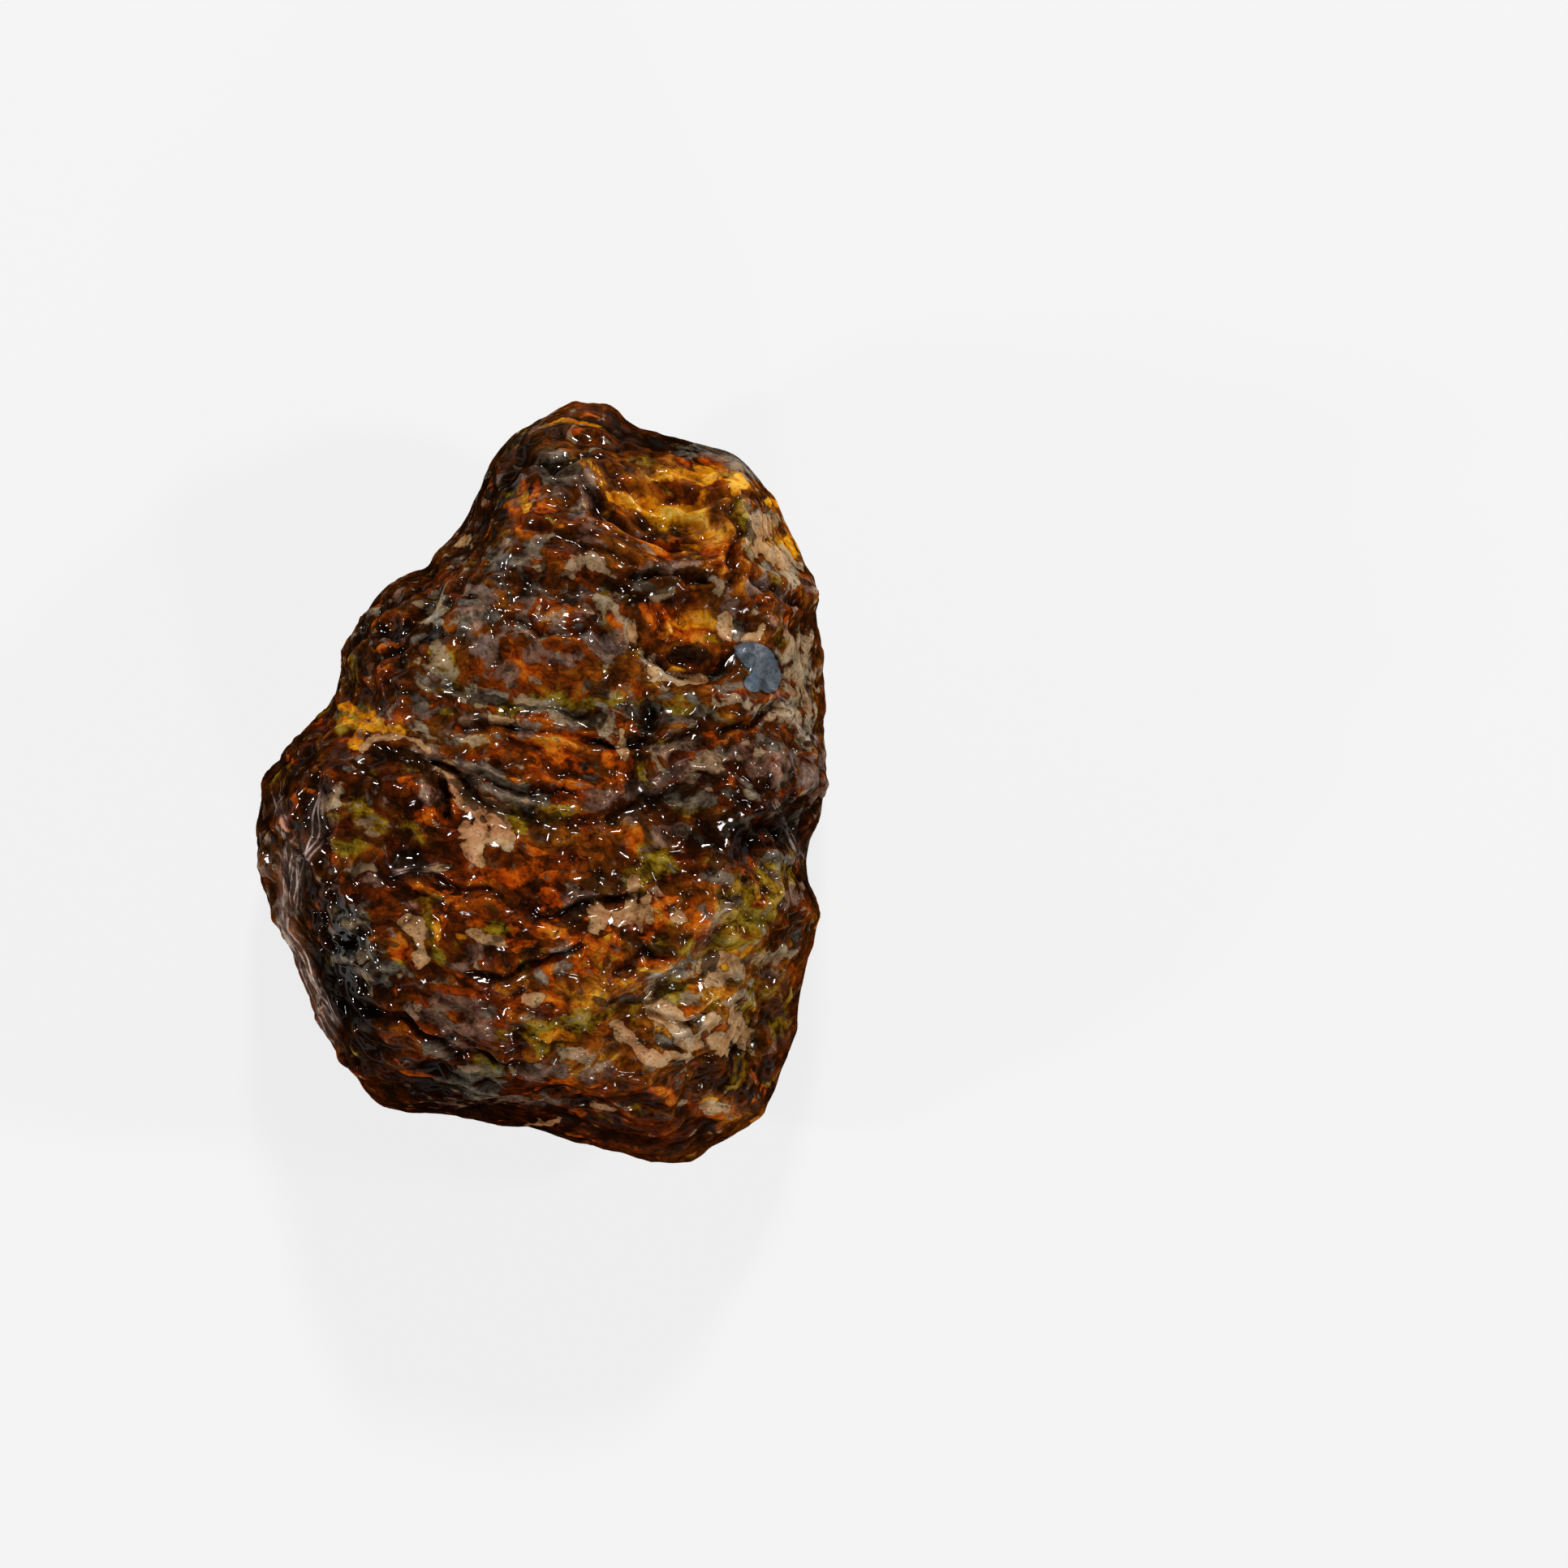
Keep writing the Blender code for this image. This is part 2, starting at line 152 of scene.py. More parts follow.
# Creases: half width, depth, then the points of the line. A rounded rim stands on both sides.
CREASES = (
    (0.2, 0.35, (-3.5, 0.4), (-3.55, -0.6), (-3.2, -1.6)),
    (0.22, 0.3, (1.9, 12.4), (2.4, 11), (3.6, 10), (5.2, 9.5), (6.8, 9.3)),
    (0.2, 0.25, (3, 12), (4.6, 11.5), (6.4, 11.3), (7.4, 10.8)),
    (0.2, 0.3, (7.5, 11.2), (7.7, 9.7), (7.3, 8.3), (7.6, 7)),
    (0.2, 0.3, (4.4, 7), (4.7, 6), (4.4, 4.9), (5, 4.2), (6.4, 4), (7.4, 4.5), (7.6, 5.6)),
    (0.18, 0.28, (3.6, 7.6), (4.6, 8.2), (5.6, 8.1), (6.6, 7.8), (7.1, 8.5)),
    (0.2, 0.28, (-4.4, 1), (-2.9, 0.4), (-1.2, -0.2), (0.6, -0.3), (2.4, -0.6)),
    (0.18, 0.22, (-3.6, 2), (-1.6, 2.2), (0.4, 2), (2.6, 1.4), (4.8, 1.4), (6.8, 2.2)),
    (0.18, 0.22, (-5.8, -3.4), (-3.9, -3.3), (-2.6, -3.9), (-1.2, -3.8)),
    (0.18, 0.25, (-1, -4.4), (0.8, -4.9), (2.4, -4.5), (4.4, -4.2)),
    (0.18, 0.22, (-2.6, -6.9), (-0.8, -7), (1, -6.2), (2.2, -6)),
    (0.18, 0.22, (2.6, -7.3), (4.2, -6.6), (5.4, -7)),
    (0.18, 0.25, (6.6, 1.8), (8, 2.3), (9.4, 3), (10.4, 3.1)),
    (0.18, 0.25, (7.6, 7.9), (9, 7.6), (10.6, 6.8)),
    (0.2, 0.25, (-6.6, -8.2), (-5, -8.9), (-3.4, -10.2), (-1.2, -10.9), (0.6, -10.8)),
    (0.18, 0.22, (4, -9), (5.2, -9.7), (6.6, -9.9), (8.4, -9.2)),
    (0.18, 0.22, (-6.4, 4.4), (-5, 5.2), (-4.2, 6.6), (-3.4, 7.4)),
    (0.18, 0.22, (-1.2, 6.2), (0.4, 5.4), (2.2, 5.6)),
    (0.2, 0.25, (-0.9, 13.2), (0.6, 12.6), (1.6, 13.2), (3.2, 13.2)),
)

# Calm stretches, where the skin is smoother: share taken off, then the place.
CALM = {
    "left side facet": (0.6, -10.2, -5, 1.6, 5, 12), "foot facet": (0.75, 0, -13.8, 7.5, 1.1, -8),
    "orange lobe": (0.25, -1, -4.6, 4.2, 2.2, 10), "pink star": (0.7, -2, -1.3, 0.9, 1.2),
    "blue spot": (0.7, 8.6, 4.7, 1.2, 1.1), "pale right cheek": (0.6, 10, 4.4, 1.1, 2.2),
    "lower right crust": (0.5, 6.6, -9.4, 2.6, 1.6, -10), "honey hollow": (0.3, 4.6, 10.6, 2, 0.8, -14),
}
ROUGH_AT_LEAST = 0.15    # share of the wrinkles left in the calmest stretch

# Pebbled stretches, with rounded grains, and stretches of much finer beads: share, then the place.
PEBBLED = {
    "upper left": (0.9, -5.6, 5.4, 3.2, 2.6, 30), "bubbly mauve patch": (0.8, -2, 7, 1.8, 1.2),
    "middle": (0.7, 1, 4.8, 3.4, 1.6, -8), "cheek": (0.9, 8.8, 0.2, 2.4, 2),
    "right slope": (0.7, 9.4, -5.4, 1.6, 3.2), "lower middle": (0.5, 2, -3.2, 2.4, 1.6),
    "left lobe": (0.6, -7.8, -0.6, 2.6, 2.2, 20), "glinting shoulder": (0.9, -7.2, -5.2, 1.2, 2.8),
}
BEADED = {
    "glinting shoulder": (2.9, -7, -5.9, 1.3, 2.2), "throat": (0.8, 4.4, 2.4, 1, 1.2),
    "lower middle": (0.6, 2, -2.6, 2, 1.2), "dark hollow": (0.7, 9, -2.4, 1.6, 1.2),
    "upper mass": (0.5, -0.6, 5.6, 3.6, 2.6), "under the lobe": (0.4, -2, -9.6, 3, 1.8),
}

# ---- Colours: rows of a place from 0 to 100, then red, green and blue in thousandths ----

AMBER = (
    (0, 7, 2.6, 0.8), (22, 20, 6.3, 1.3), (35, 55, 14, 1.8), (47, 110, 28, 2.7), (58, 200, 54, 4.5),
    (69, 350, 105, 7), (80, 520, 195, 11), (91, 700, 310, 22), (100, 870, 470, 75),
)
RED_AMBER = (
    (0, 7, 2.4, 0.8), (22, 19, 4.8, 1.1), (35, 52, 9.5, 1.4), (47, 115, 18, 1.7), (58, 215, 32, 2.1),
    (69, 350, 58, 3), (80, 500, 105, 6), (91, 640, 190, 15), (100, 800, 340, 50),
)
TINTS = (
    (15, 1050, 840, 760), (42, 1050, 960, 860), (60, 1010, 1000, 890), (80, 930, 990, 1020),
    (100, 820, 970, 1170),
)
# Colours of the pale threads and painted sheen.
SHEEN_THREAD_COLOURS = (
    (0, 160, 100, 80), (35, 430, 300, 250), (60, 680, 520, 450), (100, 880, 760, 700),
)

# ---- What shows where on the upper side: share added, then the place ----

# How much honey the amber holds, which makes it lighter. Some places are painted light instead: the sheen on
# the left side facet and left rim, the glint on the glinting shoulder, the glint on the cream fleck at the
# lower right corner, and in part the cream in the hollow.
HONEY = {
    "orange lobe": (0.03, -1.4, -4.6, 4, 3.2, 10), "lower orange": (0.14, 2.6, -6.8, 2.4, 1.2, -10),
    "golden lower right": (0.16, 4.6, -8.6, 3.6, 2.6, -20),
    "foot of the lobe": (0.14, 2.4, -11.2, 2.6, 1, -5), "right lobe": (0.18, 6.6, -5.6, 1.8, 1.8),
    "middle orange": (0.26, 1, 1.3, 1.2, 0.9, -50), "below the fold": (0.1, 2.2, -1.6, 1.6, 0.8, -10),
    "honey hollow": (0.06, 5.6, 10.9, 2.6, 1.6, -20), "right crest": (0.42, 9.6, 9.1, 0.8, 1.1, -20),
    "windows": (0.27, 6.3, 6.1, 1.1, 0.6), "dark above the windows": (-0.25, 4.3, 7.2, 0.9, 0.4),
    "dark between the windows": (-0.2, 5.8, 5.6, 0.9, 0.2), "lower right corner": (-0.2, 8, -12, 1.2, 0.9),
    "left of the left lobe": (-0.15, -8.6, -1.2, 0.8, 0.8), "cream in the hollow": (0.4, 6.5, 10, 0.4, 0.5),
    "upper mass": (0.1, -0.6, 4.6, 4.2, 2.6), "cream fleck with painted glint": (0.6, 6.9, -12.8, 0.8, 0.5),
    "left ochre": (0.2, -6.4, 2.2, 1.6, 0.8), "left side facet": (0.1, -10.1, -4.6, 0.8, 3, 8),
    "far left rim": (-0.15, -10.9, -1.4, 0.6, 2.4), "painted sheen at the left rim": (0.3, -8.8, -9.2, 0.5, 2.2, 25),
    "glinting shoulder": (0.15, -7.3, -3, 0.8, 0.8), "middle belt": (0.14, 1.6, 3.2, 4.6, 1.4, -5),
    "right cheek": (0.12, 9.8, 4, 1.2, 1.6), "yellow slope": (0.34, 7.4, -6.6, 1.2, 0.9),
    "left lobe": (-0.2, -9.2, 0.2, 1.6, 1.8), "brow": (-0.14, -6.2, -0.1, 1.4, 1),
    "black left shoulder": (-0.34, -7.7, -6, 1.1, 3.2, 10),
    "black below the shoulder": (-0.22, -7, -8.8, 1.4, 1.4), "lower left": (-0.12, -6.2, -11, 2.6, 1.4, -40),
    "foot facet": (-0.19, -0.6, -13.6, 7, 1.1, -7), "dark olive hollow": (-0.24, -2.9, -11.5, 1.8, 0.9),
    "crown left": (-0.24, -1.4, 12, 1.5, 2.2, -30), "crown top": (-0.16, 2.6, 13.9, 2.6, 0.8, -15),
    "crown edge": (-0.24, 6.4, 13.3, 2.6, 0.5, -15), "upper left": (-0.18, -6.4, 5.2, 2, 2.6),
    "dark throat": (-0.26, 4.4, 2.2, 0.5, 0.8), "cheek": (-0.08, 9.2, -0.4, 2, 1.4),
    "dark hollow": (-0.2, 8.4, -1.9, 2.2, 0.9, 10), "below the windows": (-0.1, 5.6, -0.4, 2.4, 0.6, 10),
    "lower right rim": (-0.12, 9.4, -11.6, 1.2, 2.4, 20), "lobe's dark seam": (-0.1, 0.4, -4.6, 2.6, 0.5),
    "under the lobe": (-0.12, -4.2, -7.6, 2.6, 0.8), "brow's foot": (-0.3, -4.9, -3, 1.3, 0.9),
    "dark middle of the lobe": (-0.16, -0.2, -6, 1.2, 0.7), "dark bay": (-0.3, 4, -6.2, 1.8, 0.7, -10),
    "lower lobe": (0.16, -2.2, -8.4, 2.8, 0.9, -5), "bay of the lobe": (0.02, 1.6, -8.5, 1.4, 0.8),
    "under the fold": (0.08, 2.6, -1.5, 1.6, 0.6), "lip of the fold": (0.08, 6.8, 0.8, 1.8, 0.7, 10),
    "right rim": (-0.06, 10.8, 0.4, 0.5, 1.6), "between the tan and the slope": (0.2, 7.6, -8, 1.2, 0.9),
    "above the star": (0.12, -2.4, 0, 1.4, 0.6, -20), "left of the lobe": (0.18, -6.6, -2.6, 0.9, 0.6),
    "upper right of the mass": (0.12, 2, 7, 1.2, 0.7), "dark by the cream fleck with painted glint": (-0.14, 5, -13, 0.6, 0.6),
}

# Bands where the honey is clearest: half width, share added, then the points of the line.
HONEY_BANDS = (
    (0.45, 0.5, (3.8, 10.9), (4.6, 10.6), (6, 10.2), (6.8, 9.9)),
    (0.35, 0.22, (4.4, 12.1), (6, 12.2), (8.2, 11.7)), (0.25, 0.2, (4.4, 9.1), (5.4, 9), (7, 9.1)),
    (0.25, 0.26, (-0.8, 11.4), (-0.6, 10.5), (-0.2, 9.8)), (0.36, 0.52, (5.6, 6.4), (7, 6.2)),
    (0.25, 0.2, (5.2, 5.3), (7, 5.3)), (0.2, 0.24, (9.2, 10.8), (9.7, 9.6)),
    (0.25, 0.2, (-7.2, 2.8), (-7.7, 2.1)),
)

# Where the amber is redder, or more golden.
RED = {
    "orange lobe": (0.45, -1.6, -4.6, 4.6, 3.2, 10), "below the lobe": (0.45, -2.4, -8.8, 4.4, 2.4, -20),
    "foot": (1.2, -1, -13.4, 7.5, 1.6, -8), "upper mass": (0.4, 0, 5.4, 4.6, 2.6),
    "middle orange": (0.4, 0.4, 1.6, 2.6, 1.4, -20), "left lobe": (0.3, -7.6, 0.4, 3, 2.6, 20),
    "brow's foot": (0.5, -5, -3.2, 1.4, 1), "cheek": (0.25, 7.6, 0.8, 2.6, 1.6),
    "right lobe": (0.3, 5.8, -4.6, 1.6, 1.6), "honey hollow": (-0.2, 5, 11, 3.4, 1.8, -20),
    "windows": (-0.3, 6.2, 6.2, 1.2, 1), "golden lower right": (-0.35, 6.4, -8.4, 3.6, 3, -20),
    "lower middle": (-0.25, 1, -9.6, 2, 1.4),
}

# Where the crust is greyer, or pinker.
COOL = {
    "right crest": (0.2, 9.6, 9, 1.4, 2.4, -10), "right cheek": (0.08, 10, 4, 1.6, 2.6),
    "middle belt": (0.25, 0.6, 3.2, 4.6, 1.6, -5), "upper mass": (0.15, -1.6, 7.2, 3.4, 2.2),
    "shoulder": (0.4, -7, -6.6, 1.4, 1.8), "lower right": (0.18, 7.4, -7.6, 2.4, 2),
    # The left rim and lower left rim entries grey the painted sheen there.
    "star": (-0.3, -2.2, -1.4, 1.4, 1.6), "left rim": (0.3, -10, -4.6, 0.9, 3.6, 8),
    "lower left rim": (0.4, -8.6, -9.4, 0.6, 2, 25), "crown left": (0.4, -1.2, 12, 1.8, 2),
    "upper left": (0.3, -6.2, 6.2, 2, 3, -20), "right rim": (0.2, 10.9, 1, 0.6, 7),
    "lower tan": (0.1, 6.2, -9.4, 2.6, 1.8, -20),
}

# Where the wet film shines more, or less.
WETTER = {
    "shoulder": (1, -7.1, -6, 1.3, 2.4), "left brow": (0.25, -6.6, -1.8, 1.4, 1.2),
    "throat": (0.45, 4.5, 2, 1.2, 1.2), "resin bead": (0.45, 7, -2.8, 0.9, 0.9),
    "crown": (0.4, 0.8, 12.6, 1.6, 1), "upper mass": (0.35, 0.4, 5.2, 3, 2),
    "honey hollow": (0.35, 5.4, 10.4, 1.6, 0.6, -15), "left rim": (0.2, -9.8, -4.6, 0.8, 3.4, 8),
    "under the lobe": (0.15, -3.4, -10.2, 2.6, 1.2), "foot": (-0.45, 0, -13.8, 7.5, 1.4, -8),
    "lower right": (-0.2, 6.8, -9, 3, 2.6), "right cheek": (-0.45, 10, 4.2, 1.2, 2.6),
    "right crest": (-0.3, 9.2, 9.2, 1.2, 1.8), "star": (-0.3, -2, -1.6, 0.8, 1),
}
DRYNESS = 0.45         # how much less than fully wet the rest is
WET_SLOPE = (0.52, 0.84)    # the film starts, and is full, where the surface faces up this much
WET_STEEP = (0.5, 0.8)      # past this much added wetness it lies on steeper slopes too, by this much

# Webs of fine pale threads, partly painted sheen standing in for light caught along the rims and crests: how
# strongly each shows, then the points of the line it follows.
SHEEN_THREADS = (
    (1, (-9.5, -1.6), (-9.8, -3), (-10, -4.5), (-9.9, -5.8), (-9.4, -6.9), (-8.8, -8.1), (-8.3, -8.8),
     (-7.7, -9.7)),
    (0.9, (-8.3, -0.1), (-8.5, -1.2), (-8.5, -2), (-9.1, -3), (-9.4, -3.9), (-9.5, -5.1)),
    (0.8, (-10.4, -4.8), (-9.6, -6.9), (-9.1, -8.1), (-8.4, -9.7), (-7.9, -10.2)),
    (0.6, (-10.3, -0.4), (-9.9, -1.4), (-9.7, -2.2)), (0.5, (9.2, 3.6), (10.2, 2.2), (11, 1.5)),
    (0.5, (9.3, -0.5), (9.6, -1.5), (9.9, -2.2), (10.5, -3.4)),
    (0.6, (8, -4.5), (7, -5.2), (6.5, -6.3), (6.2, -6.9)), (0.5, (6, -7.2), (4.2, -7.8)),
    (0.3, (-5.6, -3.5), (-4.4, -3.3), (-3.5, -3.2)), (0.4, (3.2, -0.5), (4.6, 0.1), (6.2, 0.9)),
)
THREAD_REACH = 0.5     # how far from its line a web reaches
THREAD_DRIFT = 0.15    # how much it wanders, as a share of the patches' wandering
THREAD_HEIGHTS = (1.5, 4.0)    # a web starts, and is full, at these heights

# The other finishes, in the order they are laid. edge: wavelength of the broken edge. broken: how far
# it is broken up. soft: how soft it is. line: how dark the line round it is. cover: how fully it
# covers. patches: ovals. ribbons: half width, then the points of a line. zones: where scattered bits
# show, or don't: share added, then the place.
FINISHES = {
    "orange": {
        "edge": 0.9, "broken": 1, "soft": 0.12, "line": 0.2, "cover": 1,
        "colours": (
            (0, 10, 3, 1), (25, 50, 9, 1.2), (40, 150, 20, 1.4), (55, 300, 42, 2), (70, 460, 85, 4),
            (100, 700, 220, 15),
        ),
        "patches": (
            (1, 1.3, 1.2, 0.85, -50), (0.2, 0.9, 0.5, 0.3, -30), (-4.1, -1.5, 0.6, 0.5),
            (1.9, -6.9, 0.5, 1, -10), (2.9, -6.4, 0.6, 0.5), (4.5, -6.8, 0.6, 0.3, -10),
            (6.4, -5.6, 0.35, 0.7, -30), (0.6, -8.3, 0.5, 0.4), (5.2, -4.8, 0.8, 0.5), (7.5, -4, 0.4, 0.2),
            (2.2, -1.5, 0.9, 0.5, -20), (-0.6, -3.6, 1.4, 0.5, 10), (0.9, -5.6, 0.8, 0.4, -15),
            (-5.4, -6.4, 0.4, 0.5), (-0.8, -5.5, 0.4, 0.4), (1.3, -11.8, 0.4, 0.6, 30), (5, -12.4, 0.6, 0.3),
            (4.7, 6.5, 0.5, 0.5), (6, 5.6, 0.8, 0.25), (4.9, 9.1, 0.8, 0.35), (6.8, 9, 0.4, 0.3),
            (-0.6, 11, 0.3, 0.9, 10), (0.5, 10.6, 0.3, 0.4), (6.7, 12.5, 1.2, 0.35, -10),
            (3.2, 1.3, 0.3, 0.5), (-0.3, 4.4, 0.5, 0.4), (-5.3, 5.3, 0.3, 0.2), (-5.6, 6.1, 0.25, 0.2),
            (9.5, 6.4, 0.25, 0.25), (6.9, 1.5, 0.7, 0.25, 20), (-4.3, 3.3, 0.3, 0.2), (2, -12.8, 0.7, 0.15),
        ),
        "ribbons": (),
        "zones": (
            (0.42, -0.5, -5.2, 5.5, 3.8), (0.36, 1, 1.4, 2.4, 2), (0.3, 3, -11.4, 3, 1.2),
            (0.26, 1, 4.8, 3.6, 1.8), (0.3, 5, 9, 2.4, 0.6), (0.16, -6.6, 0, 2.6, 2),
            (0.34, 5.6, -4.6, 2, 2), (0.2, -5.6, 5.6, 2, 2.4),
        ),
    },
    "olive": {
        "edge": 1, "broken": 0.85, "soft": 0.3, "line": 0, "cover": 0.95,
        "colours": (
            (0, 6, 3.3, 1), (25, 28, 13, 1.4), (40, 95, 46, 2.2), (55, 205, 108, 4.4), (70, 320, 198, 11),
            (100, 470, 350, 90),
        ),
        "patches": (
            (4.7, -2.8, 0.6, 0.8, -15), (3.9, -3.8, 0.5, 0.45), (7.1, -6.2, 1.4, 0.8, 40),
            (7.9, -5, 0.8, 1.2, 10), (0.7, -9.6, 1.5, 0.75, 5), (1.9, -9.3, 0.8, 0.5, 30),
            (-2.3, -5.75, 0.9, 0.25), (-3.9, -5.8, 0.25, 0.9, 25), (8.6, -8.3, 0.8, 0.4, 10),
            (4.8, -8.4, 1.2, 0.3, 5), (-6.3, -1.5, 0.6, 0.5), (-7.1, -2.4, 0.6, 0.3),
            (1.2, -0.9, 1.6, 0.25, -5), (-0.9, -1.2, 0.4, 0.7, 20), (5.9, -1, 0.6, 0.25),
            (8.5, 9.4, 0.6, 0.8), (9.6, 5.6, 0.4, 0.4), (7.9, 11, 0.3, 0.8), (4.6, 12.5, 0.9, 0.2, -10),
            (-7.2, 2.4, 0.8, 0.35, -30), (-3.3, 4.2, 0.3, 0.9, 10), (-3.4, 2.7, 0.6, 0.2),
            (1, 2.8, 1, 0.25, -5), (9.4, -3.9, 0.6, 0.8), (-1.9, -11, 0.5, 0.4), (6, -7.8, 1.2, 0.2, 15),
        ),
        "ribbons": (
            (0.3, (-1.5, 2.6), (0, 3.2), (2, 2.9)), (0.24, (-3, -6.1), (-2.6, -5.7), (-1.4, -5.8)),
            (0.24, (-7.6, 2.2), (-6.6, 2.9)), (0.16, (-1.4, -0.9), (0.2, -1.4), (1.5, -1.2), (2.6, -0.8)),
            (0.22, (-3.8, 5), (-3.4, 4.2), (-3, 3.6)),
        ),
        "zones": (
            (0.56, 7.8, -6.2, 2.4, 3), (-0.2, 5.4, 10.8, 2.6, 1.4, -20), (-0.3, 5.9, 6.2, 1.3, 0.9),
            (0.32, -6.3, -1.8, 1.6, 1.2), (0.4, 0.8, -9.4, 2.6, 1.4), (0.2, -3, -6, 3, 1.6),
            (0.46, 0, 3, 4, 1, -6), (0.28, 8.8, -9, 1.4, 1.8), (0.34, -4.6, 3.6, 2.4, 1.4),
            (0.28, 4, 4.6, 3, 2), (0.3, 3.6, -8, 3, 1.6), (0.5, 9.4, 9, 1.2, 2), (0.16, 0, 10, 2, 3),
            (-0.5, 0, -13.8, 7.5, 1.2, -8),
        ),
    },
    "gold": {
        "edge": 0.7, "broken": 0.6, "soft": 0.12, "line": 0.3, "cover": 1,
        "colours": (
            (0, 40, 11, 1), (25, 150, 44, 2), (42, 360, 105, 3), (58, 560, 190, 4), (75, 760, 305, 10),
            (100, 930, 520, 75),
        ),
        "patches": (
            (5, 11.9, 0.55, 0.35), (6.5, 12.1, 0.8, 0.3, -8), (7.9, 11.7, 0.4, 0.55),
            (3.5, 11, 1.2, 0.25, -25), (4.9, 10.5, 1.2, 0.5, -18), (6, 10.1, 0.9, 0.55, -20),
            (6.4, 6.2, 0.9, 0.45, -10), (9.8, 9.3, 0.45, 0.5, -30), (9.05, 11.1, 0.25, 0.2),
            (-7.4, 2.4, 0.5, 0.2, -30), (-6.2, 2.1, 0.6, 0.15, 20), (7.4, -6.8, 0.9, 0.4, 20),
            (1, -9.7, 0.8, 0.35, 10), (5.2, 4.3, 0.5, 0.2, -10), (-0.4, 11, 0.25, 0.5, 10),
            # 6.7, -12.6 is part of the cream fleck with its painted glint.
            (5.9, 9.2, 0.5, 0.15), (6.7, -12.6, 0.5, 0.2), (-2.4, -5.8, 0.6, 0.12),
            (-3.8, -5.6, 0.15, 0.5, 25),
        ),
        "ribbons": (
            (0.16, (-7.6, 3.1), (-6.8, 2.7), (-6, 2.4)),
            (0.2, (-7.2, 1.5), (-6.7, 1.9), (-6, 2.15), (-5.2, 1.9)),
            (0.1, (0.2, 14), (1.4, 14.2), (2.4, 14)),
        ),
        "zones": (
            (0.48, 5.6, 11, 2.6, 1.5, -20), (0.4, 6.2, 6.1, 1, 0.6), (0.24, 4.4, -8.4, 2.6, 1.4, -20),
            (0.4, -6.6, 2.2, 1.4, 0.6), (0.3, 9.6, 9.4, 0.8, 1.4),
        ),
    },
    "mauve": {
        "edge": 0.75, "broken": 1, "soft": 0.16, "line": 0.35, "cover": 0.77,
        "colours": (
            (0, 6, 3.8, 2.6), (25, 24, 11.5, 7.5), (42, 75, 37, 24), (58, 145, 79, 54), (75, 240, 142, 102),
            (100, 460, 305, 235),
        ),
        "patches": (
            (1.9, -4.5, 0.6, 0.45), (-3.2, -8.8, 1.4, 0.6, -10), (-2.4, -9.7, 0.9, 0.4),
            (-6.2, -4.3, 0.6, 0.5), (-2.2, -6.3, 0.6, 0.3, -10), (5, 8.5, 1.1, 0.2),
            (8.7, 7.6, 0.7, 0.3, -10), (7.5, 6.9, 0.3, 0.4), (3.2, 5.4, 0.55, 0.5), (-1.8, 5.2, 0.5, 0.7),
            (-1, 4.2, 0.6, 0.3), (-2, 7, 1.1, 0.5), (2, 2.4, 0.9, 0.25), (5.4, 1.3, 0.8, 0.35),
            (4, -0.3, 1.4, 0.2, 22), (6.2, 0.4, 1, 0.25, 5), (-4.3, 1.3, 0.9, 0.3, -30),
            (-3.9, -0.5, 0.4, 0.6), (9.9, -4.4, 0.4, 0.4), (9.3, -3.7, 0.4, 0.25, -30),
            (5.4, -1.8, 0.9, 0.15, 15), (7.6, -2.2, 0.7, 0.2, 25), (9.5, 0.5, 0.5, 0.5),
            (2, 11.3, 0.25, 0.9), (0.2, -11.2, 0.7, 0.4), (2.4, -11.2, 0.5, 0.3), (-7.8, -0.6, 0.3, 0.5),
            (8.9, -7.6, 0.5, 0.2), (6.8, -3.8, 0.3, 0.4), (7.6, -4.6, 0.5, 0.3, 30), (10.8, 0.3, 0.4, 1.1),
            (10, 0.9, 0.5, 0.4), (-1.9, 2.6, 0.9, 0.3, -8), (-0.4, 2.1, 0.5, 0.25), (-1, 5.9, 0.3, 0.5, 20),
            (-0.1, 5, 0.4, 0.3), (0.9, 6.3, 0.3, 0.4), (1.6, 5, 0.4, 0.25, 20), (-2.8, 6.1, 0.4, 0.3),
            (0.4, 7.1, 1, 0.2, -12),
        ),
        "ribbons": (
            (0.26, (-5, 1.7), (-3.5, 1), (-2.6, 0.2)),
            (0.22, (2.8, -0.8), (4.2, -0.3), (5.5, 0.4), (6.2, 0.7), (7.6, 1.2)),
            (0.12, (4.7, -1.8), (6.2, -1.4)), (0.12, (4.3, -2.4), (5, -2)),
            (0.2, (4.2, 8.3), (5.3, 8.6), (6.4, 8.4)),
            (0.12, (-5.2, -11.8), (-4.2, -12.5), (-3, -12.7), (-1.5, -12.4), (1, -12.5), (2.4, -12.8)),
            (0.18, (1.7, 10.5), (2.2, 12)),
        ),
        "zones": (
            (0.56, -0.6, 6.2, 4.2, 3), (0.48, 6, 0.8, 4.6, 2), (0.44, -3.2, -8.8, 2.2, 1.2),
            (0.56, 8.8, 7, 2, 1.4), (0.46, -3.6, 1.8, 3, 1.2, -20), (0.26, 1.6, 9.6, 2.6, 1.4),
            # The zones at -10.1, -4.6 and at -8.8, -9.2 lay pale mauve on the left rim as painted sheen.
            (0.12, 6.4, -9, 2, 2), (0.1, -4, -4.4, 4, 2), (0.72, -10.1, -4.6, 0.8, 3.6, 8),
            (0.72, -8.8, -9.2, 0.5, 2.2, 25), (-0.7, 5.9, 6.2, 1.5, 1.2), (-0.6, 5.4, 10.8, 2.6, 1.4, -20),
            (-0.5, 0, -13.8, 7.5, 1.2, -8), (-0.15, -1, -4.6, 4.2, 2.2, 10), (-0.2, 3.4, -7.6, 3, 1.6, -10),
            (-0.3, 1, 1.3, 1.4, 1, -50),
        ),
    },
    "slate": {
        "edge": 0.65, "broken": 1, "soft": 0.15, "line": 0.3, "cover": 0.77,
        "colours": (
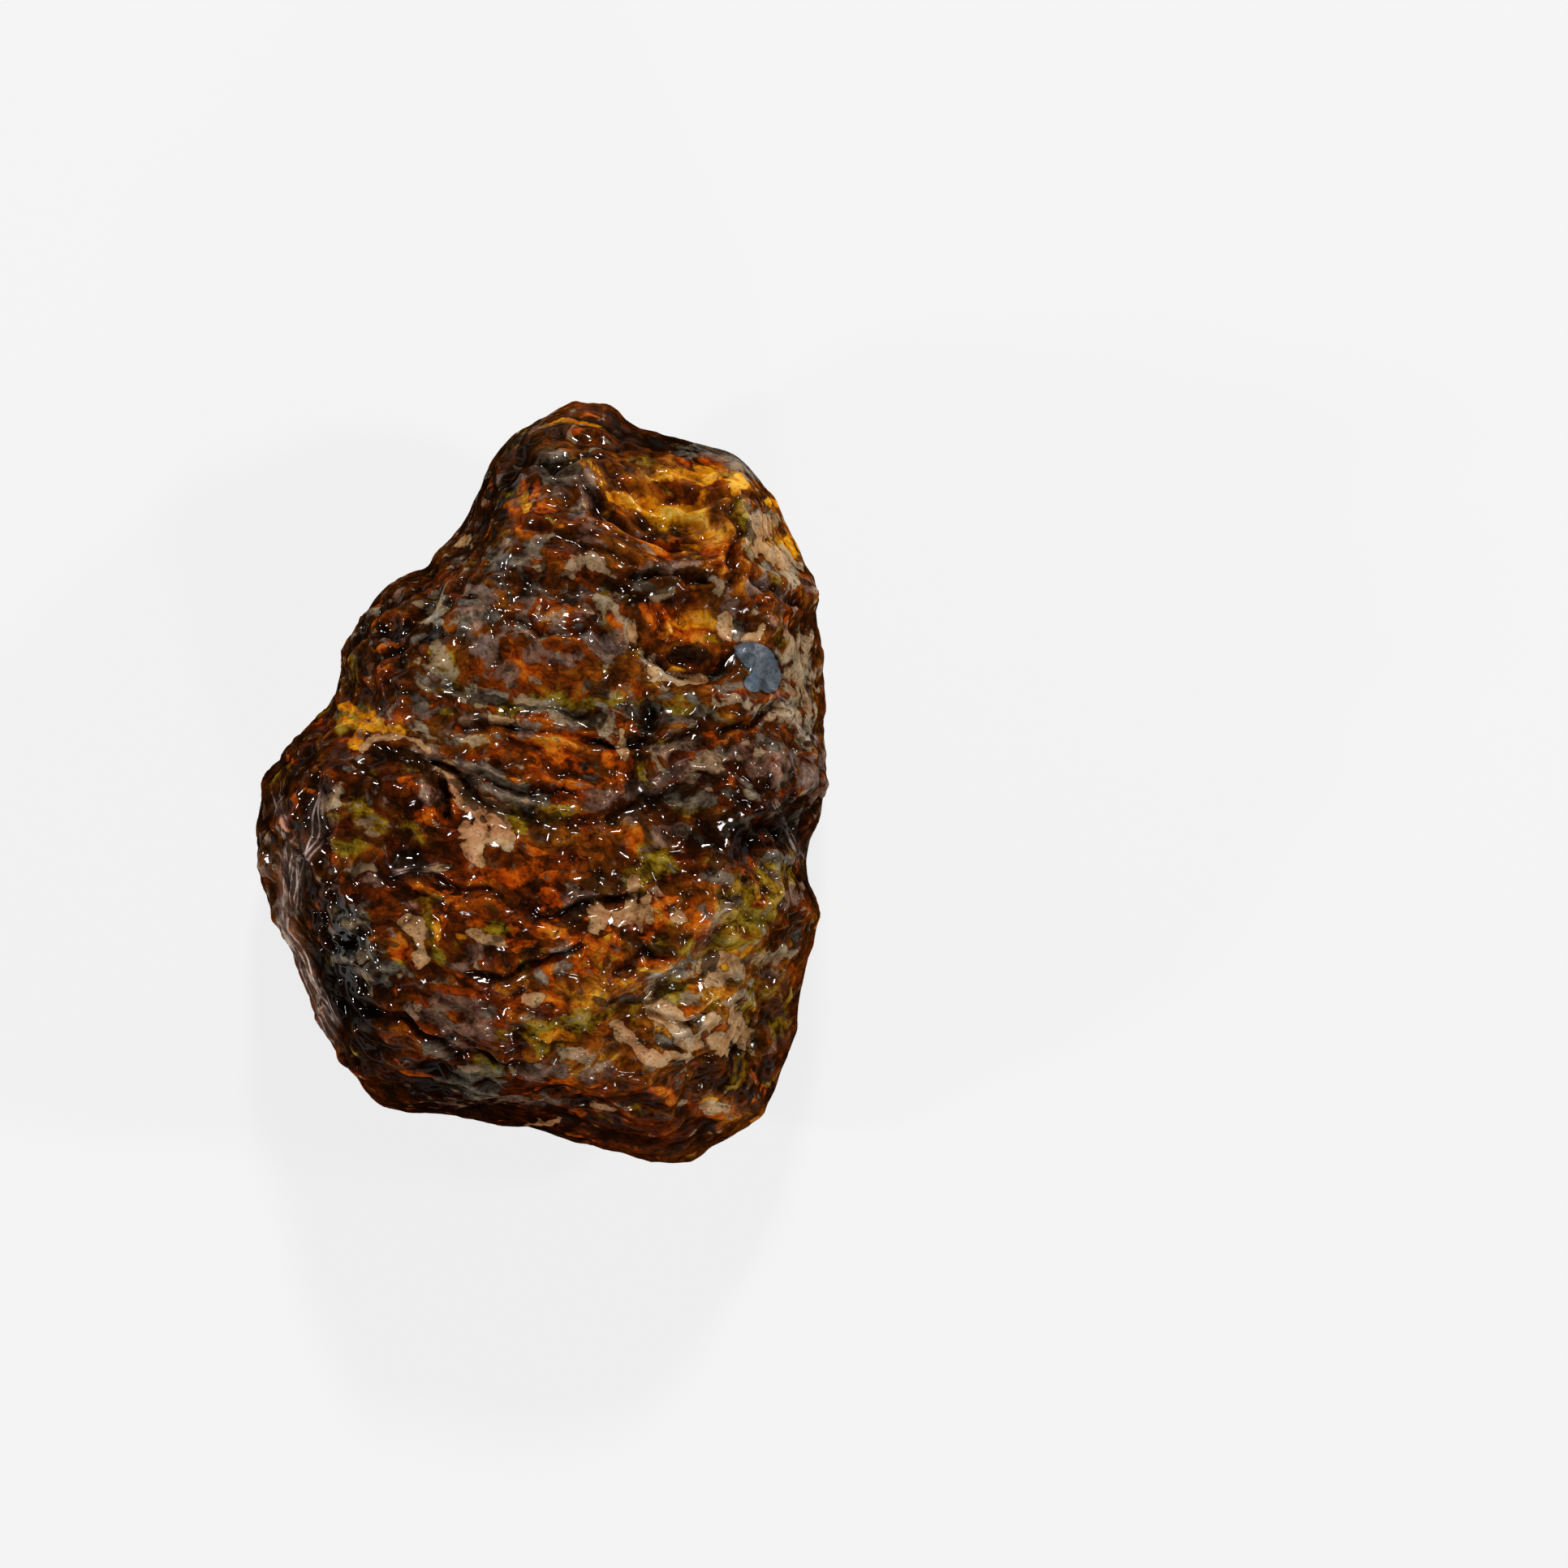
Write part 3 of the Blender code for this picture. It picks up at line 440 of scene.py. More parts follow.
            (0, 5, 3.8, 2.6), (28, 19, 14.5, 10), (48, 68, 53, 39), (68, 145, 122, 93), (100, 320, 290, 235),
        ),
        "patches": (
            (-0.7, 8.6, 1.1, 0.5, -5), (0.9, 12.3, 0.7, 0.6), (2.3, 0.1, 0.5, 0.2), (2.2, 0.6, 0.4, 0.3),
            (1.2, -6.6, 0.4, 0.6), (0.2, -7.7, 0.25, 0.25), (-6.5, -6.9, 0.8, 0.6, -20),
            (-5.8, -7.4, 0.4, 0.4), (-6.8, -5.2, 0.5, 0.5), (5.3, -10.1, 0.5, 0.2, -25),
            (-2, 0.6, 1.1, 0.25, -20), (-1.6, -0.1, 1, 0.3, -15), (-0.6, -0.8, 0.8, 0.3, -20),
            (7.2, -3.6, 0.5, 0.3), (9.6, -3, 0.6, 0.3), (-2.6, -11.8, 1.2, 0.5), (-3.6, -10.4, 0.5, 0.4),
            (7, 12.9, 1.4, 0.25, -8), (4.6, 2.9, 0.3, 0.3), (6.2, -0.8, 0.8, 0.3, 10), (4.5, 4.8, 0.3, 0.2),
            (7.6, 6.2, 0.3, 0.3), (5.6, -0.4, 0.4, 0.3), (4.2, 7.8, 0.5, 0.25), (7.4, 3.6, 0.5, 0.3),
            (0.2, 9.2, 0.5, 0.4), (-4.8, 3.3, 0.4, 0.3), (8.9, 2.9, 0.6, 0.3),
        ),
        "ribbons": (
            (0.24, (-3, 0.9), (-1.6, 0.4), (-0.4, -0.4), (0.6, -0.6)), (0.2, (-3, 6.2), (-1.6, 6.4)),
            (0.32, (5.5, 13.3), (7, 12.9), (8.2, 12.2)), (0.24, (-3.9, 7.2), (-3.7, 5.4)),
        ),
        "zones": (
            (0.4, 0, 7.8, 3.6, 1.6), (0.46, 5.2, 2.8, 4, 1.4), (0.4, -1.4, 0.2, 2.6, 1, -20),
            (0.36, 7.4, -1.6, 3, 1.4), (0.38, -2.6, -11.4, 2.2, 1), (0.3, -1.2, 11.8, 1.6, 1.8),
            (0.3, -3.6, 5.6, 1.6, 2.4), (0.26, 9.6, -1, 1.4, 2.4), (0.34, 9.6, 4.4, 1.2, 1.6),
            (0.5, -6.4, -6.6, 0.9, 1.6), (-0.7, 5.9, 6.2, 1.5, 1.2), (-0.7, 5.4, 10.8, 2.6, 1.4, -20),
            (-0.15, -1, -4.6, 4.2, 2.2, 10), (-0.25, 3.4, -7.6, 3, 1.6, -10), (-0.3, 1, 1.3, 1.4, 1, -50),
            (-0.6, 0, -13.8, 7.5, 1.3, -8), (0.2, 2.4, 3.2, 3.6, 1.2, -6),
        ),
    },
    "stone": {
        "edge": 0.5, "broken": 1, "soft": 0.16, "line": 0.3, "cover": 0.84,
        "colours": (
            (0, 20, 12, 6), (25, 75, 45, 21), (42, 185, 118, 62), (60, 310, 212, 124), (100, 540, 400, 260),
        ),
        "patches": (
            (10.1, 4.6, 0.7, 1.5), (10.3, 3, 0.6, 1.2, 5), (9.5, 2.6, 0.8, 0.35, -30),
            (9.8, 8.4, 0.5, 0.7, -20), (2.1, 8.7, 0.6, 0.45), (2.8, 8.2, 0.3, 0.3), (1.5, 8.3, 0.4, 0.25),
            (3, 6.6, 0.6, 0.35, -35), (3.6, 5.7, 0.4, 0.35, -35), (4.4, 4.7, 0.3, 0.45),
            (-3.9, 6.4, 0.35, 0.8, 5), (-3.6, 5, 0.3, 0.6), (-3.4, 4, 0.35, 0.5), (-6.5, -1.6, 0.35, 0.45),
            (-7.9, -0.8, 0.3, 0.4), (-6.8, -3.3, 0.6, 0.2, -10), (9.2, -6.9, 0.8, 0.3, 10),
            (5, 7.4, 0.4, 0.25), (6.8, 0.7, 1, 0.3, 12), (5.2, -7.6, 0.8, 0.15, 12), (1.8, -10.6, 0.7, 0.3),
            # The six small spots around -7.2, -6 are painted glints: pale reflections on the glinting
            # shoulder.
            (7, 7.4, 0.3, 0.5), (8, -8.4, 0.5, 0.3), (-7.6, -4.9, 0.3, 0.25), (-7.2, -5.4, 0.25, 0.3),
            (-7.7, -5.8, 0.25, 0.2), (-7.4, -7, 0.35, 0.3), (-6.8, -7.4, 0.4, 0.25),
            (-6.6, -6.8, 0.25, 0.25),
        ),
        "ribbons": (
            (0.3, (-2.6, 3.5), (-1.2, 3.2), (0.2, 2.9), (1.6, 2.5), (2.6, 2.3)),
            (0.24, (2.8, 7), (3.5, 6.3), (4.1, 5.6)), (0.18, (6.9, 3.2), (8.2, 3)),
            (0.2, (8.2, 8.7), (8.6, 9.6), (9.1, 10.4)), (0.14, (4.3, -7.9), (5.6, -7.5), (6.3, -7)),
        ),
        "zones": (
            (0.36, 0.4, 3, 3.4, 0.9, -8), (0.56, 9.9, 4.4, 1.2, 2.2), (0.46, 9, 9.2, 1.2, 1.6),
            (0.32, 3.4, 6.2, 1.4, 1.6), (0.36, -3.7, 5.4, 1, 1.8), (0.28, 1.6, 8.6, 1.6, 0.9),
            (0.24, 7.2, -7.6, 2.4, 1.8), (0.2, -7, -2, 1.2, 1), (0.26, 5.4, 1.2, 3.4, 1.2, 6),
            (-0.3, 0, -14, 7, 1.4, -8), (0.24, 1.8, -10.6, 1.6, 0.8), (-0.6, 5.9, 6.2, 1.3, 0.9),
            (-0.6, 5.4, 10.8, 2.4, 1.3, -20), (-0.2, -1, -4.6, 4.2, 2.2, 10), (-0.3, 1, 1.3, 1.4, 1, -50),
        ),
    },
    "tan": {
        "edge": 0.5, "broken": 0.5, "soft": 0.09, "line": 0.6, "cover": 1,
        "colours": (
            (0, 22, 9, 3.2), (22, 80, 34, 11.5), (36, 235, 116, 46), (55, 400, 215, 96), (75, 530, 308, 152),
            (100, 710, 470, 280),
        ),
        "patches": (
            (-2, -0.9, 0.95, 0.35, -10), (-1.5, -1.4, 0.35, 0.75, 20), (-2.8, -0.5, 0.35, 0.8, 25),
            (-2.2, -2.2, 0.6, 0.6), (-2.2, -1.7, 0.4, 0.5), (-1.3, -2.2, 0.3, 0.3), (3, -5.2, 0.9, 0.35),
            (2.4, -5.6, 0.35, 0.3), (4.2, -4.9, 0.3, 0.7, -15), (-4.6, -5.7, 0.45, 0.6, 30),
            (-4.4, -6.6, 0.25, 0.6), (-1.9, -6, 0.9, 0.2, -25), (5.2, -9.1, 1.1, 0.4, -40),
            (6.6, -9.2, 0.6, 0.35, 20), (8, -9.7, 0.45, 0.95, 20), (7.1, -10.2, 0.6, 0.45, -40),
            (6, -10, 0.5, 0.4), (3.6, -9.9, 0.8, 0.35, -40), (4.6, -10.7, 0.5, 0.3, -20),
            (5.6, -10.6, 0.5, 0.25, -20), (6.7, -7.4, 0.45, 0.55), (7.7, -7.2, 0.3, 0.6, 10),
            (7.2, -6.8, 0.5, 0.2), (5.6, -5.1, 0.45, 0.2, -40), (5.6, 4, 1.1, 0.16), (-2.9, 9.4, 0.4, 0.3),
            (3.5, 1.6, 0.22, 0.5, 20), (8.7, 9.8, 0.45, 0.9, -12), (9.4, 8.8, 0.5, 0.4),
            # 6.9, -12.8 is the cream fleck with its painted glint.
            (7.3, 6.1, 0.3, 0.5), (-3.7, -3.2, 0.6, 0.15), (0, -8.3, 0.4, 0.25), (6.9, -12.8, 0.6, 0.25),
            (-1.3, 2.4, 0.5, 0.25, -10), (8.3, 5.8, 0.5, 0.2, 20), (9, 10, 0.25, 0.5, -20),
            (3.9, 5.9, 0.25, 0.4, 20),
        ),
        "ribbons": (
            (0.12, (-6.8, 1.4), (-6.1, 1.75), (-4.8, 1.75), (-4.1, 1.25)),
            (0.16, (4.5, 4.4), (5.5, 3.9), (6.7, 4.1)), (0.32, (-3.5, 0.7), (-2.9, -0.4), (-2.4, -0.8)),
            (0.2, (-1.4, -0.9), (-1.1, -1.7), (-0.9, -2.4)), (0.24, (-2.7, -1.5), (-2, -2.9)),
            (0.24, (-4.9, -5.3), (-4.5, -5.9), (-4.3, -6.8)),
            (0.26, (2.2, -4.9), (3.4, -5.2), (3.6, -4.9), (3.9, -3.7)), (0.2, (4.4, -4.5), (4.5, -5.3)),
            (0.2, (6.6, -7.2), (7.2, -6.6), (7.9, -7.2), (7, -7.7), (6.6, -7.2)),
            (0.28, (4.3, -8.4), (4.6, -9), (5.3, -9.2), (5.9, -9.7)),
            (0.26, (3.3, -9.7), (4.2, -10.6), (4.9, -10.8)), (0.18, (8.2, 5.5), (8.9, 6)),
            (0.1, (-0.5, -13.5), (0.8, -13.3)), (0.12, (2, -12.7), (3, -12.8)),
        ),
        "zones": (
            (0.16, 1.4, 6, 4, 2.8), (0.3, 6.4, -9.2, 2.6, 1.8, -20), (0.2, 10, 3.6, 1, 2.2),
            (0.2, 8.8, 9.6, 1, 1.8), (0.3, -1, 2.4, 2, 0.7, -6), (0.14, -3.6, 6, 1.2, 1.8),
            (0.22, -4, 2.4, 2.6, 1.2), (0.22, 6.8, 0.6, 2, 0.8, 10), (-0.3, 0, -14, 7, 1.2, -8),
            (0.1, 2.6, 3.6, 3, 1.2, -6),
        ),
    },
    "dark": {
        "edge": 0.7, "broken": 1, "soft": 0.2, "line": 0, "cover": 0.82,
        "colours": ((0, 4, 1.6, 0.6), (45, 10, 3.6, 1.2), (100, 45, 18, 6),),
        "patches": (
            (-3.5, -0.9, 0.22, 0.6, 5), (8.1, 4.35, 0.35, 0.3), (4.2, 2.3, 0.4, 0.9, -15),
            (7, -3.2, 0.35, 0.35), (4.2, -1.6, 0.4, 0.6), (2.8, -4.2, 0.6, 0.3), (-8.9, -5, 0.5, 2.2, 8),
            (-7.6, -8.4, 1.2, 0.5), (5.8, 5, 0.8, 0.3), (-0.2, 12.9, 1.2, 0.4, -30), (2.6, 3.8, 0.6, 0.5),
            (1.4, -5.2, 0.6, 0.2, 5), (4.6, -6.4, 0.8, 0.3, -10), (2.8, -7.1, 0.3, 0.3),
            (0.6, 8.6, 0.2, 0.5), (5.6, 8, 1.2, 0.25), (-0.1, -6.6, 0.5, 0.3), (9, -1.6, 0.9, 0.4),
            (6.5, -11.6, 0.4, 0.3), (1.2, -12, 0.5, 0.2), (4, -12.5, 0.8, 0.25), (4.9, 7.7, 0.6, 0.2),
            (-1.9, -1.2, 0.26, 0.13, -20), (-5, -3, 0.7, 0.4), (-6.4, -10.4, 0.6, 1.2, 40),
            (0.6, -5, 0.7, 0.25), (8.5, 9.7, 0.25, 0.5, 20),
        ),
        "ribbons": (
            # The first five ribbons run along the seams of the main, lower right, upper and crown folds:
            # painted shade in their grooves.
            (0.22, (-6.4, 1.2), (-4.9, 1.1), (-3.6, 0.1), (-1.6, -0.9), (1, -1.5), (3.2, -1.2)),
            (0.18, (3.2, -1.2), (5.6, -0.3), (7.6, 0.6)),
            (0.14, (2.6, -8.4), (4.6, -8.3), (6.2, -7.6), (7, -6.4)),
            (0.14, (-4.4, 3.4), (-2, 3.3), (0.4, 2.8), (2.4, 2.4)),
            (0.16, (-2.4, 8.1), (-0.4, 7.4), (1.6, 7)), (0.14, (0.6, 9.2), (0.5, 8)),
            (0.3, (-9.2, -2.6), (-8.9, -5), (-8.4, -7.6)), (0.25, (-6.6, -9), (-7.2, -10.4)),
        ),
        "zones": (
            (0.5, -8.2, -5.6, 1, 3.4, 10), (0.44, -6.6, -5.8, 1, 2, 5), (0.34, -6.8, -9.6, 1.8, 1.6),
            (0.36, -2, 12, 2, 2.4), (0.34, 7.6, -1.8, 3.2, 1), (0.34, 4.4, 2.2, 0.9, 1),
            (0.2, -5.8, 5.4, 2.6, 2.4), (0.18, -2.6, -5, 4, 2.4), (0.26, 1, -3.8, 3, 1.6),
            (0.24, 5, -2.6, 3, 1), (0.26, -5, -8.4, 3, 1.6), (0.2, 7.4, -10.8, 2.4, 1.6),
            (0.3, 4.4, 9.6, 1.6, 0.5), (0.3, 5.8, 5, 1.2, 0.3), (0.1, 0, 4.6, 4, 1.2),
        ),
    },
    "blue": {
        "edge": 0.8, "broken": 0.12, "soft": 0.06, "line": 0.6, "cover": 1,
        "colours": ((0, 22, 22, 24), (40, 70, 84, 108), (70, 135, 166, 215), (100, 290, 330, 380),),
        "patches": ((8.6, 4.9, 0.95, 0.5, -25), (9, 4.2, 0.55, 0.7, 10), (8.5, 3.9, 0.4, 0.35),),
        "ribbons": (),
        "zones": (),
    },
}
SCATTER = -0.73        # how far from showing a finish is outside its patches and zones
PATCH_HEART = 0.55     # how surely it shows amid a patch
PAINTED_HEIGHTS = (2.5, 5.0)    # what is placed starts, and is full, at these heights

# How far the patches' edges wander: wavelength and reach of each layer, in millimetres.
WANDER = ((1.6, 0.60), (0.7, 0.42), (0.33, 0.18))

# How the marbling is swirled: wavelength and reach of each round, in millimetres.
SWIRLS = ((1.9, 0.95), (0.65, 0.30))

# Marbling laid over the placed shares: wavelength, height and first seed.
MARBLING = {"honey": (1.6, 0.10, 80), "red": (1.3, 0.9, 82), "cool": (0.9, 0.5, 84)}

# Layers of how far the surface stands out, and the rounds of smoothing that they are measured from.
CREST_ROUNDS = {"crest": 8, "swell": 70}
FACING_ROUNDS = 25     # rounds of smoothing of the direction the broad form faces
FACING_UP = (0.05, 0.65)    # sides that face up less are dull, with less of the wet film, and painted darker as shade, and more are not


def smooth(low, high, value):
    """0 below low, 1 above high, and an S-curve between."""
    share = np.clip((value - low) / (high - low), 0, 1)
    return share * share * (3 - 2 * share)


def corner_value(cell, seed):
    """A repeatable number from -1 to 1 for each whole-numbered lattice point, by mixing its bits."""
    x, y, z = (cell[..., i].astype(np.uint32) for i in range(3))
    mixed = x * np.uint32(73856093) ^ y * np.uint32(19349663) ^ z * np.uint32(83492791)
    mixed = mixed ^ np.uint32(seed * 2654435761 % 2**32)
    for shift, factor in ((16, 2246822519), (13, 3266489917), (16, 668265263)):
        mixed = (mixed ^ (mixed >> np.uint32(shift))) * np.uint32(factor)
    return mixed.astype(float) / 2**31 - 1


def gradient_noise(points, seed):
    """Perlin's noise: lattice corners hold slopes, and an S-curve blends the eight around a point."""
    cell = np.floor(points).astype(np.int64)
    within = points - cell
    ease = within**3 * (within * (within * 6 - 15) + 10)
    total = np.zeros(len(points))
    for corner in np.ndindex(2, 2, 2):
        offset = np.array(corner)
        share = np.prod(np.where(offset, ease, 1 - ease), axis=1)
        slopes = np.stack([corner_value(cell + offset, seed * 3 + i) for i in range(3)], axis=1)
        total += share * np.sum(slopes * (within - offset), axis=1)
    return total


def drifts(points, wavelength, seed, axes):
    """A column of noise for each axis, with seeds that follow one another."""
    return np.column_stack([gradient_noise(points / wavelength, seed + axis) for axis in range(axes)])


def grain_domes(points, seed):
    """Worley's cells as domes: sqrt(1 - (d / 0.8)^2), where d is the way to the nearest cell's point."""
    cell = np.floor(points).astype(np.int64)
    nearest = np.full(len(points), 9.0)
    for corner in np.ndindex(3, 3, 3):
        there = cell + np.array(corner) - 1
        place = np.stack([corner_value(there, seed * 3 + i) for i in range(3)], axis=1) / 2 + 0.5
        nearest = np.minimum(nearest, np.sum((there + place - points) ** 2, axis=1))
    return np.sqrt(np.maximum(0, 1 - nearest / 0.8**2))


def outline_radius(direction):
    """Distance from HEART to the outline: a Catmull-Rom curve through OUTLINE, read by direction."""
    ring = np.array(OUTLINE)
    ring = ring * (WIDTH, LENGTH) / np.ptp(ring, axis=0)
    before, after, beyond = (np.roll(ring, shift, axis=0) for shift in (1, -1, -2))
    steps = np.arange(0, 1, 0.05)[:, None, None]
    curve = 0.5 * (
        2 * ring
        + (after - before) * steps
        + (2 * before - 5 * ring + 4 * after - beyond) * steps**2
        + (3 * ring - before - 3 * after + beyond) * steps**3
    )
    arm = curve.transpose(1, 0, 2).reshape(-1, 2) - HEART
    angle = np.arctan2(arm[:, 1], arm[:, 0])
    order = np.argsort(angle)
    return np.interp(direction, angle[order], np.hypot(*arm.T)[order], period=2 * np.pi)


def profile_value(direction, column):
    """A column of PROFILE at each direction, eased from station to station."""
    stations = np.radians([row[0] for row in PROFILE])
    index = np.interp(direction % (2 * np.pi), [*stations, 2 * np.pi], np.arange(len(PROFILE) + 1))
    low = np.floor(index).astype(int)
    share = smooth(0, 1, index - low)
    values = np.array([row[column] for row in PROFILE], float)
    return values[low % len(values)] * (1 - share) + values[(low + 1) % len(values)] * share


def even_reach(share):
    """Share of the radius for an even step along a typical profile from the crown (0) to the rim (1)."""
    rise, boxiness = CROWN_RISE
    reach = np.linspace(0, 1, 400)
    height = rise * (1 - reach**boxiness) ** (1 / RIM_ROUNDING)
    travelled = np.concatenate([[0], np.cumsum(np.hypot(np.diff(reach), np.diff(height)))])
    return np.interp(share, travelled / travelled[-1], reach)


def plain_form(way):
    """The lump without its relief, for unit vectors: outline x profile, upper side and back."""
    direction = np.arctan2(way[:, 1], way[:, 0])
    rise = np.arcsin(np.clip(way[:, 2], -1, 1)) / (np.pi / 2)
    rise += UPPER_SHARE * (1 - rise**2)
    reach = even_reach(1 - np.abs(rise))
    radius = outline_radius(direction) * reach
    boxiness, rim = profile_value(direction, 1), profile_value(direction, 2)
    above = (1 - reach**boxiness) ** (1 / RIM_ROUNDING)
    below = (1 - reach**BACK_BOXINESS) ** (1 / RIM_ROUNDING)
    height = np.where(rise > 0, rim + (CROWN - rim) * above, rim * (1 - below))
    flat = np.stack([np.cos(direction), np.sin(direction)], axis=1) * radius[:, None] + HEART
    return np.column_stack([flat, height]), rim


def turned(spot, x, y, half_length, half_width, turn=0):
    """Where each spot lies in an oval's own axes: along and across it, 1 at its edge."""
    cosine, sine = np.cos(np.radians(turn)), np.sin(np.radians(turn))
    dx, dy = spot[:, 0] - x, spot[:, 1] - y
    return (dx * cosine + dy * sine) / half_length, (dy * cosine - dx * sine) / half_width


def mounds(spot, places):
    """The sum of smooth mounds and hollows, each height x exp(-(along^2 + across^2)) in its oval."""
    total = np.zeros(len(spot))
    for height, *oval in places:
        along, across = turned(spot, *oval)
        total += height * np.exp(-(along**2 + across**2))
    return total


def seam_distance(spot, points):
    """For each spot: how far a line of points is, its side of it (1 above, -1 below), how far along."""
    nearest = np.full(len(spot), np.inf)
    side, along = np.zeros(len(spot)), np.zeros(len(spot))
    for index, (start, end) in enumerate(zip(np.array(points[:-1]), np.array(points[1:]))):
        run = end - start
        arm = spot - start
        share = np.clip(arm @ run / (run @ run), 0, 1)
        away = arm - share[:, None] * run
        distance = np.hypot(*away.T)
        closer = distance < nearest
        nearest = np.where(closer, distance, nearest)
        side = np.where(closer, np.sign(run[0] * arm[:, 1] - run[1] * arm[:, 0]), side)
        along = np.where(closer, (index + share) / (len(points) - 1), along)
    return nearest, side, along


def faded_ends(along, share):
    """1 on a line, down to 0 at its two ends over a share of its length."""
    return smooth(0, share, along) * smooth(0, share, 1 - along)


def fold_height(spot, half_width, depth, lip, *points):
    """A groove along the seam, exp(-(d / width)^2), under a lip on its upper side, fading at both ends."""
    distance, side, along = seam_distance(spot, points)
    groove = depth * np.exp(-((distance / half_width) ** 2))
    raised = lip * np.exp(-distance / LIP_REACH) * smooth(-half_width, half_width, side * distance)
    return (groove + raised) * faded_ends(along, FOLD_ENDS)


def broad_relief(base, upper, from_rim):
    """How far each point of the plain form is moved outwards: placed features, then lumpy noise."""
    spot = base[:, :2]
    wavelength, reach = FOLD_WANDER
    moved = spot + reach * drifts(base, wavelength, 50, 2)
    placed = mounds(spot, LUMPS.values()) + sum(fold_height(moved, *fold) for fold in FOLDS.values())
    noise = np.zeros(len(base))
    for seed, (wavelength, height) in enumerate(LUMPINESS):
        layer = gradient_noise(base / wavelength, seed)
        noise += height * (RIDGE_MIDDLE - RIDGE_GAIN * np.abs(layer))
    return placed * upper + noise * (RIM_SHARE + (1 - RIM_SHARE) * from_rim)


def crease_height(spot, half_width, depth, *line):
    """A groove, exp(-(d / width)^2) deep, with a rim 0.6 as high at twice its width, fading at its ends."""
    distance, _, along = seam_distance(spot, line)
    across = distance / half_width
    shape = 0.6 * np.exp(-((across - 2) ** 2)) - np.exp(-(across**2))
    return depth * shape * faded_ends(along, LINE_ENDS)


def fine_relief(base, upper):
    """Creased wrinkles, |noise| drawn out along the folds, domed pebbles and beads, and creases."""
    spot = base[:, :2]
    along, across = turned(spot, 0, 0, WRINKLE_STRETCH, 1, WRINKLE_TURN)
    drawn_out = np.column_stack([along, across, base[:, 2]])
    wavelength, reach = FINE_WANDER
    wander = drifts(base, wavelength, 40, 3) * reach
    height = np.zeros(len(base))
    for seed, (wavelength, size) in enumerate(WRINKLES):
        layer = gradient_noise((drawn_out + wander) / wavelength, 20 + seed)
        height += size * (RIDGE_GAIN * np.abs(layer) - RIDGE_MIDDLE)
    height *= np.clip(1 - mounds(spot, CALM.values()) * upper, ROUGH_AT_LEAST, 1)
    pebbles = grain_domes((base + wander * 0.6) / PEBBLE_SIZE, 30) - DOME_MIDDLE
    beads = grain_domes((base + wander * 0.3) / BEAD_SIZE, 33) - DOME_MIDDLE
    height += np.clip(mounds(spot, PEBBLED.values()), 0, 1) * upper * PEBBLE_HEIGHT * pebbles
    height += np.clip(mounds(spot, BEADED.values()), 0, MOST_BEADED) * upper * BEAD_HEIGHT * beads
    return height + sum(crease_height(spot + wander[:, :2] * 0.8, *crease) for crease in CREASES) * upper


def lump_surface(way):
    """The finished surface for unit vectors: relief pushes away from an inner spine."""
    base, rim = plain_form(way)
    upper = smooth(0, UPPER_FADE, base[:, 2] - rim)
    from_rim = smooth(0, RIM_FADE, np.abs(base[:, 2] - rim))
    fine = fine_relief(base, upper) * (FINE_RIM_SHARE + (1 - FINE_RIM_SHARE) * from_rim)
    share, height = SPINE
    spine = np.column_stack([HEART + share * (base[:, :2] - HEART), np.full(len(base), height)])
    outwards = base - spine
    outwards /= np.linalg.norm(outwards, axis=1)[:, None]
    points = base + outwards * (broad_relief(base, upper, from_rim) + fine)[:, None]
    points[:, 2] = np.maximum(points[:, 2] - WORN_DEPTH, 0)
    return points


def cube_grids(steps):
    """The six square grids of a cube, joined at its edges: whole-numbered corners and quads."""
    first, second = np.meshgrid(np.arange(steps + 1), np.arange(steps + 1), indexing="ij")
    sides = []
    for axis in range(3):
        for end, u, v in ((0, second, first), (steps, first, second)):
            sides.append(np.roll(np.stack([np.full_like(u, end), u, v], axis=-1), axis, axis=-1))
    corners = np.stack(sides).reshape(-1, 3)
    code = (corners[:, 0] * (steps + 1) + corners[:, 1]) * (steps + 1) + corners[:, 2]
    _, chosen, index = np.unique(code, return_index=True, return_inverse=True)
    index = index.reshape(6, steps + 1, steps + 1)
    quads = np.stack([index[:, :-1, :-1], index[:, 1:, :-1], index[:, 1:, 1:], index[:, :-1, 1:]], axis=-1)
    return corners[chosen], quads.reshape(-1, 4)


def grid_mesh(name, points, quads):
    """A mesh of quads from arrays."""
    mesh = bpy.data.meshes.new(name)
    mesh.vertices.add(len(points))
    mesh.vertices.foreach_set("co", points.astype(np.float32).ravel())
    mesh.loops.add(quads.size)
    mesh.loops.foreach_set("vertex_index", quads.astype(np.int32).ravel())
    mesh.polygons.add(len(quads))
    mesh.polygons.foreach_set("loop_start", np.arange(0, quads.size, 4, dtype=np.int32))
    mesh.update(calc_edges=True)
    return mesh


def thin(obj, triangles):
    """Brings the object's mesh down to a number of triangles, most where it bends most."""
    modifier = obj.modifiers.new("thin", "DECIMATE")
    modifier.ratio = triangles / (2 * len(obj.data.polygons))
    modifier.use_collapse_triangulate = True
    mesh = bpy.data.meshes.new_from_object(obj.evaluated_get(bpy.context.evaluated_depsgraph_get()))
    obj.modifiers.clear()
    obj.data = mesh


def set_layer(mesh, name, values):
    """A number, or a vector, for each corner of the mesh, under a name that a material can read."""
    kind, key = ("FLOAT", "value") if values.ndim == 1 else ("FLOAT_VECTOR", "vector")
    mesh.attributes.new(name, kind, "POINT").data.foreach_set(key, values.astype(np.float32).ravel())


def corner_vectors(corners, name):
    """A vector for each corner of a mesh, as rows."""
    values = np.empty(3 * len(corners), np.float32)
    corners.foreach_get(name, values)
    return values.reshape(-1, 3).astype(float)


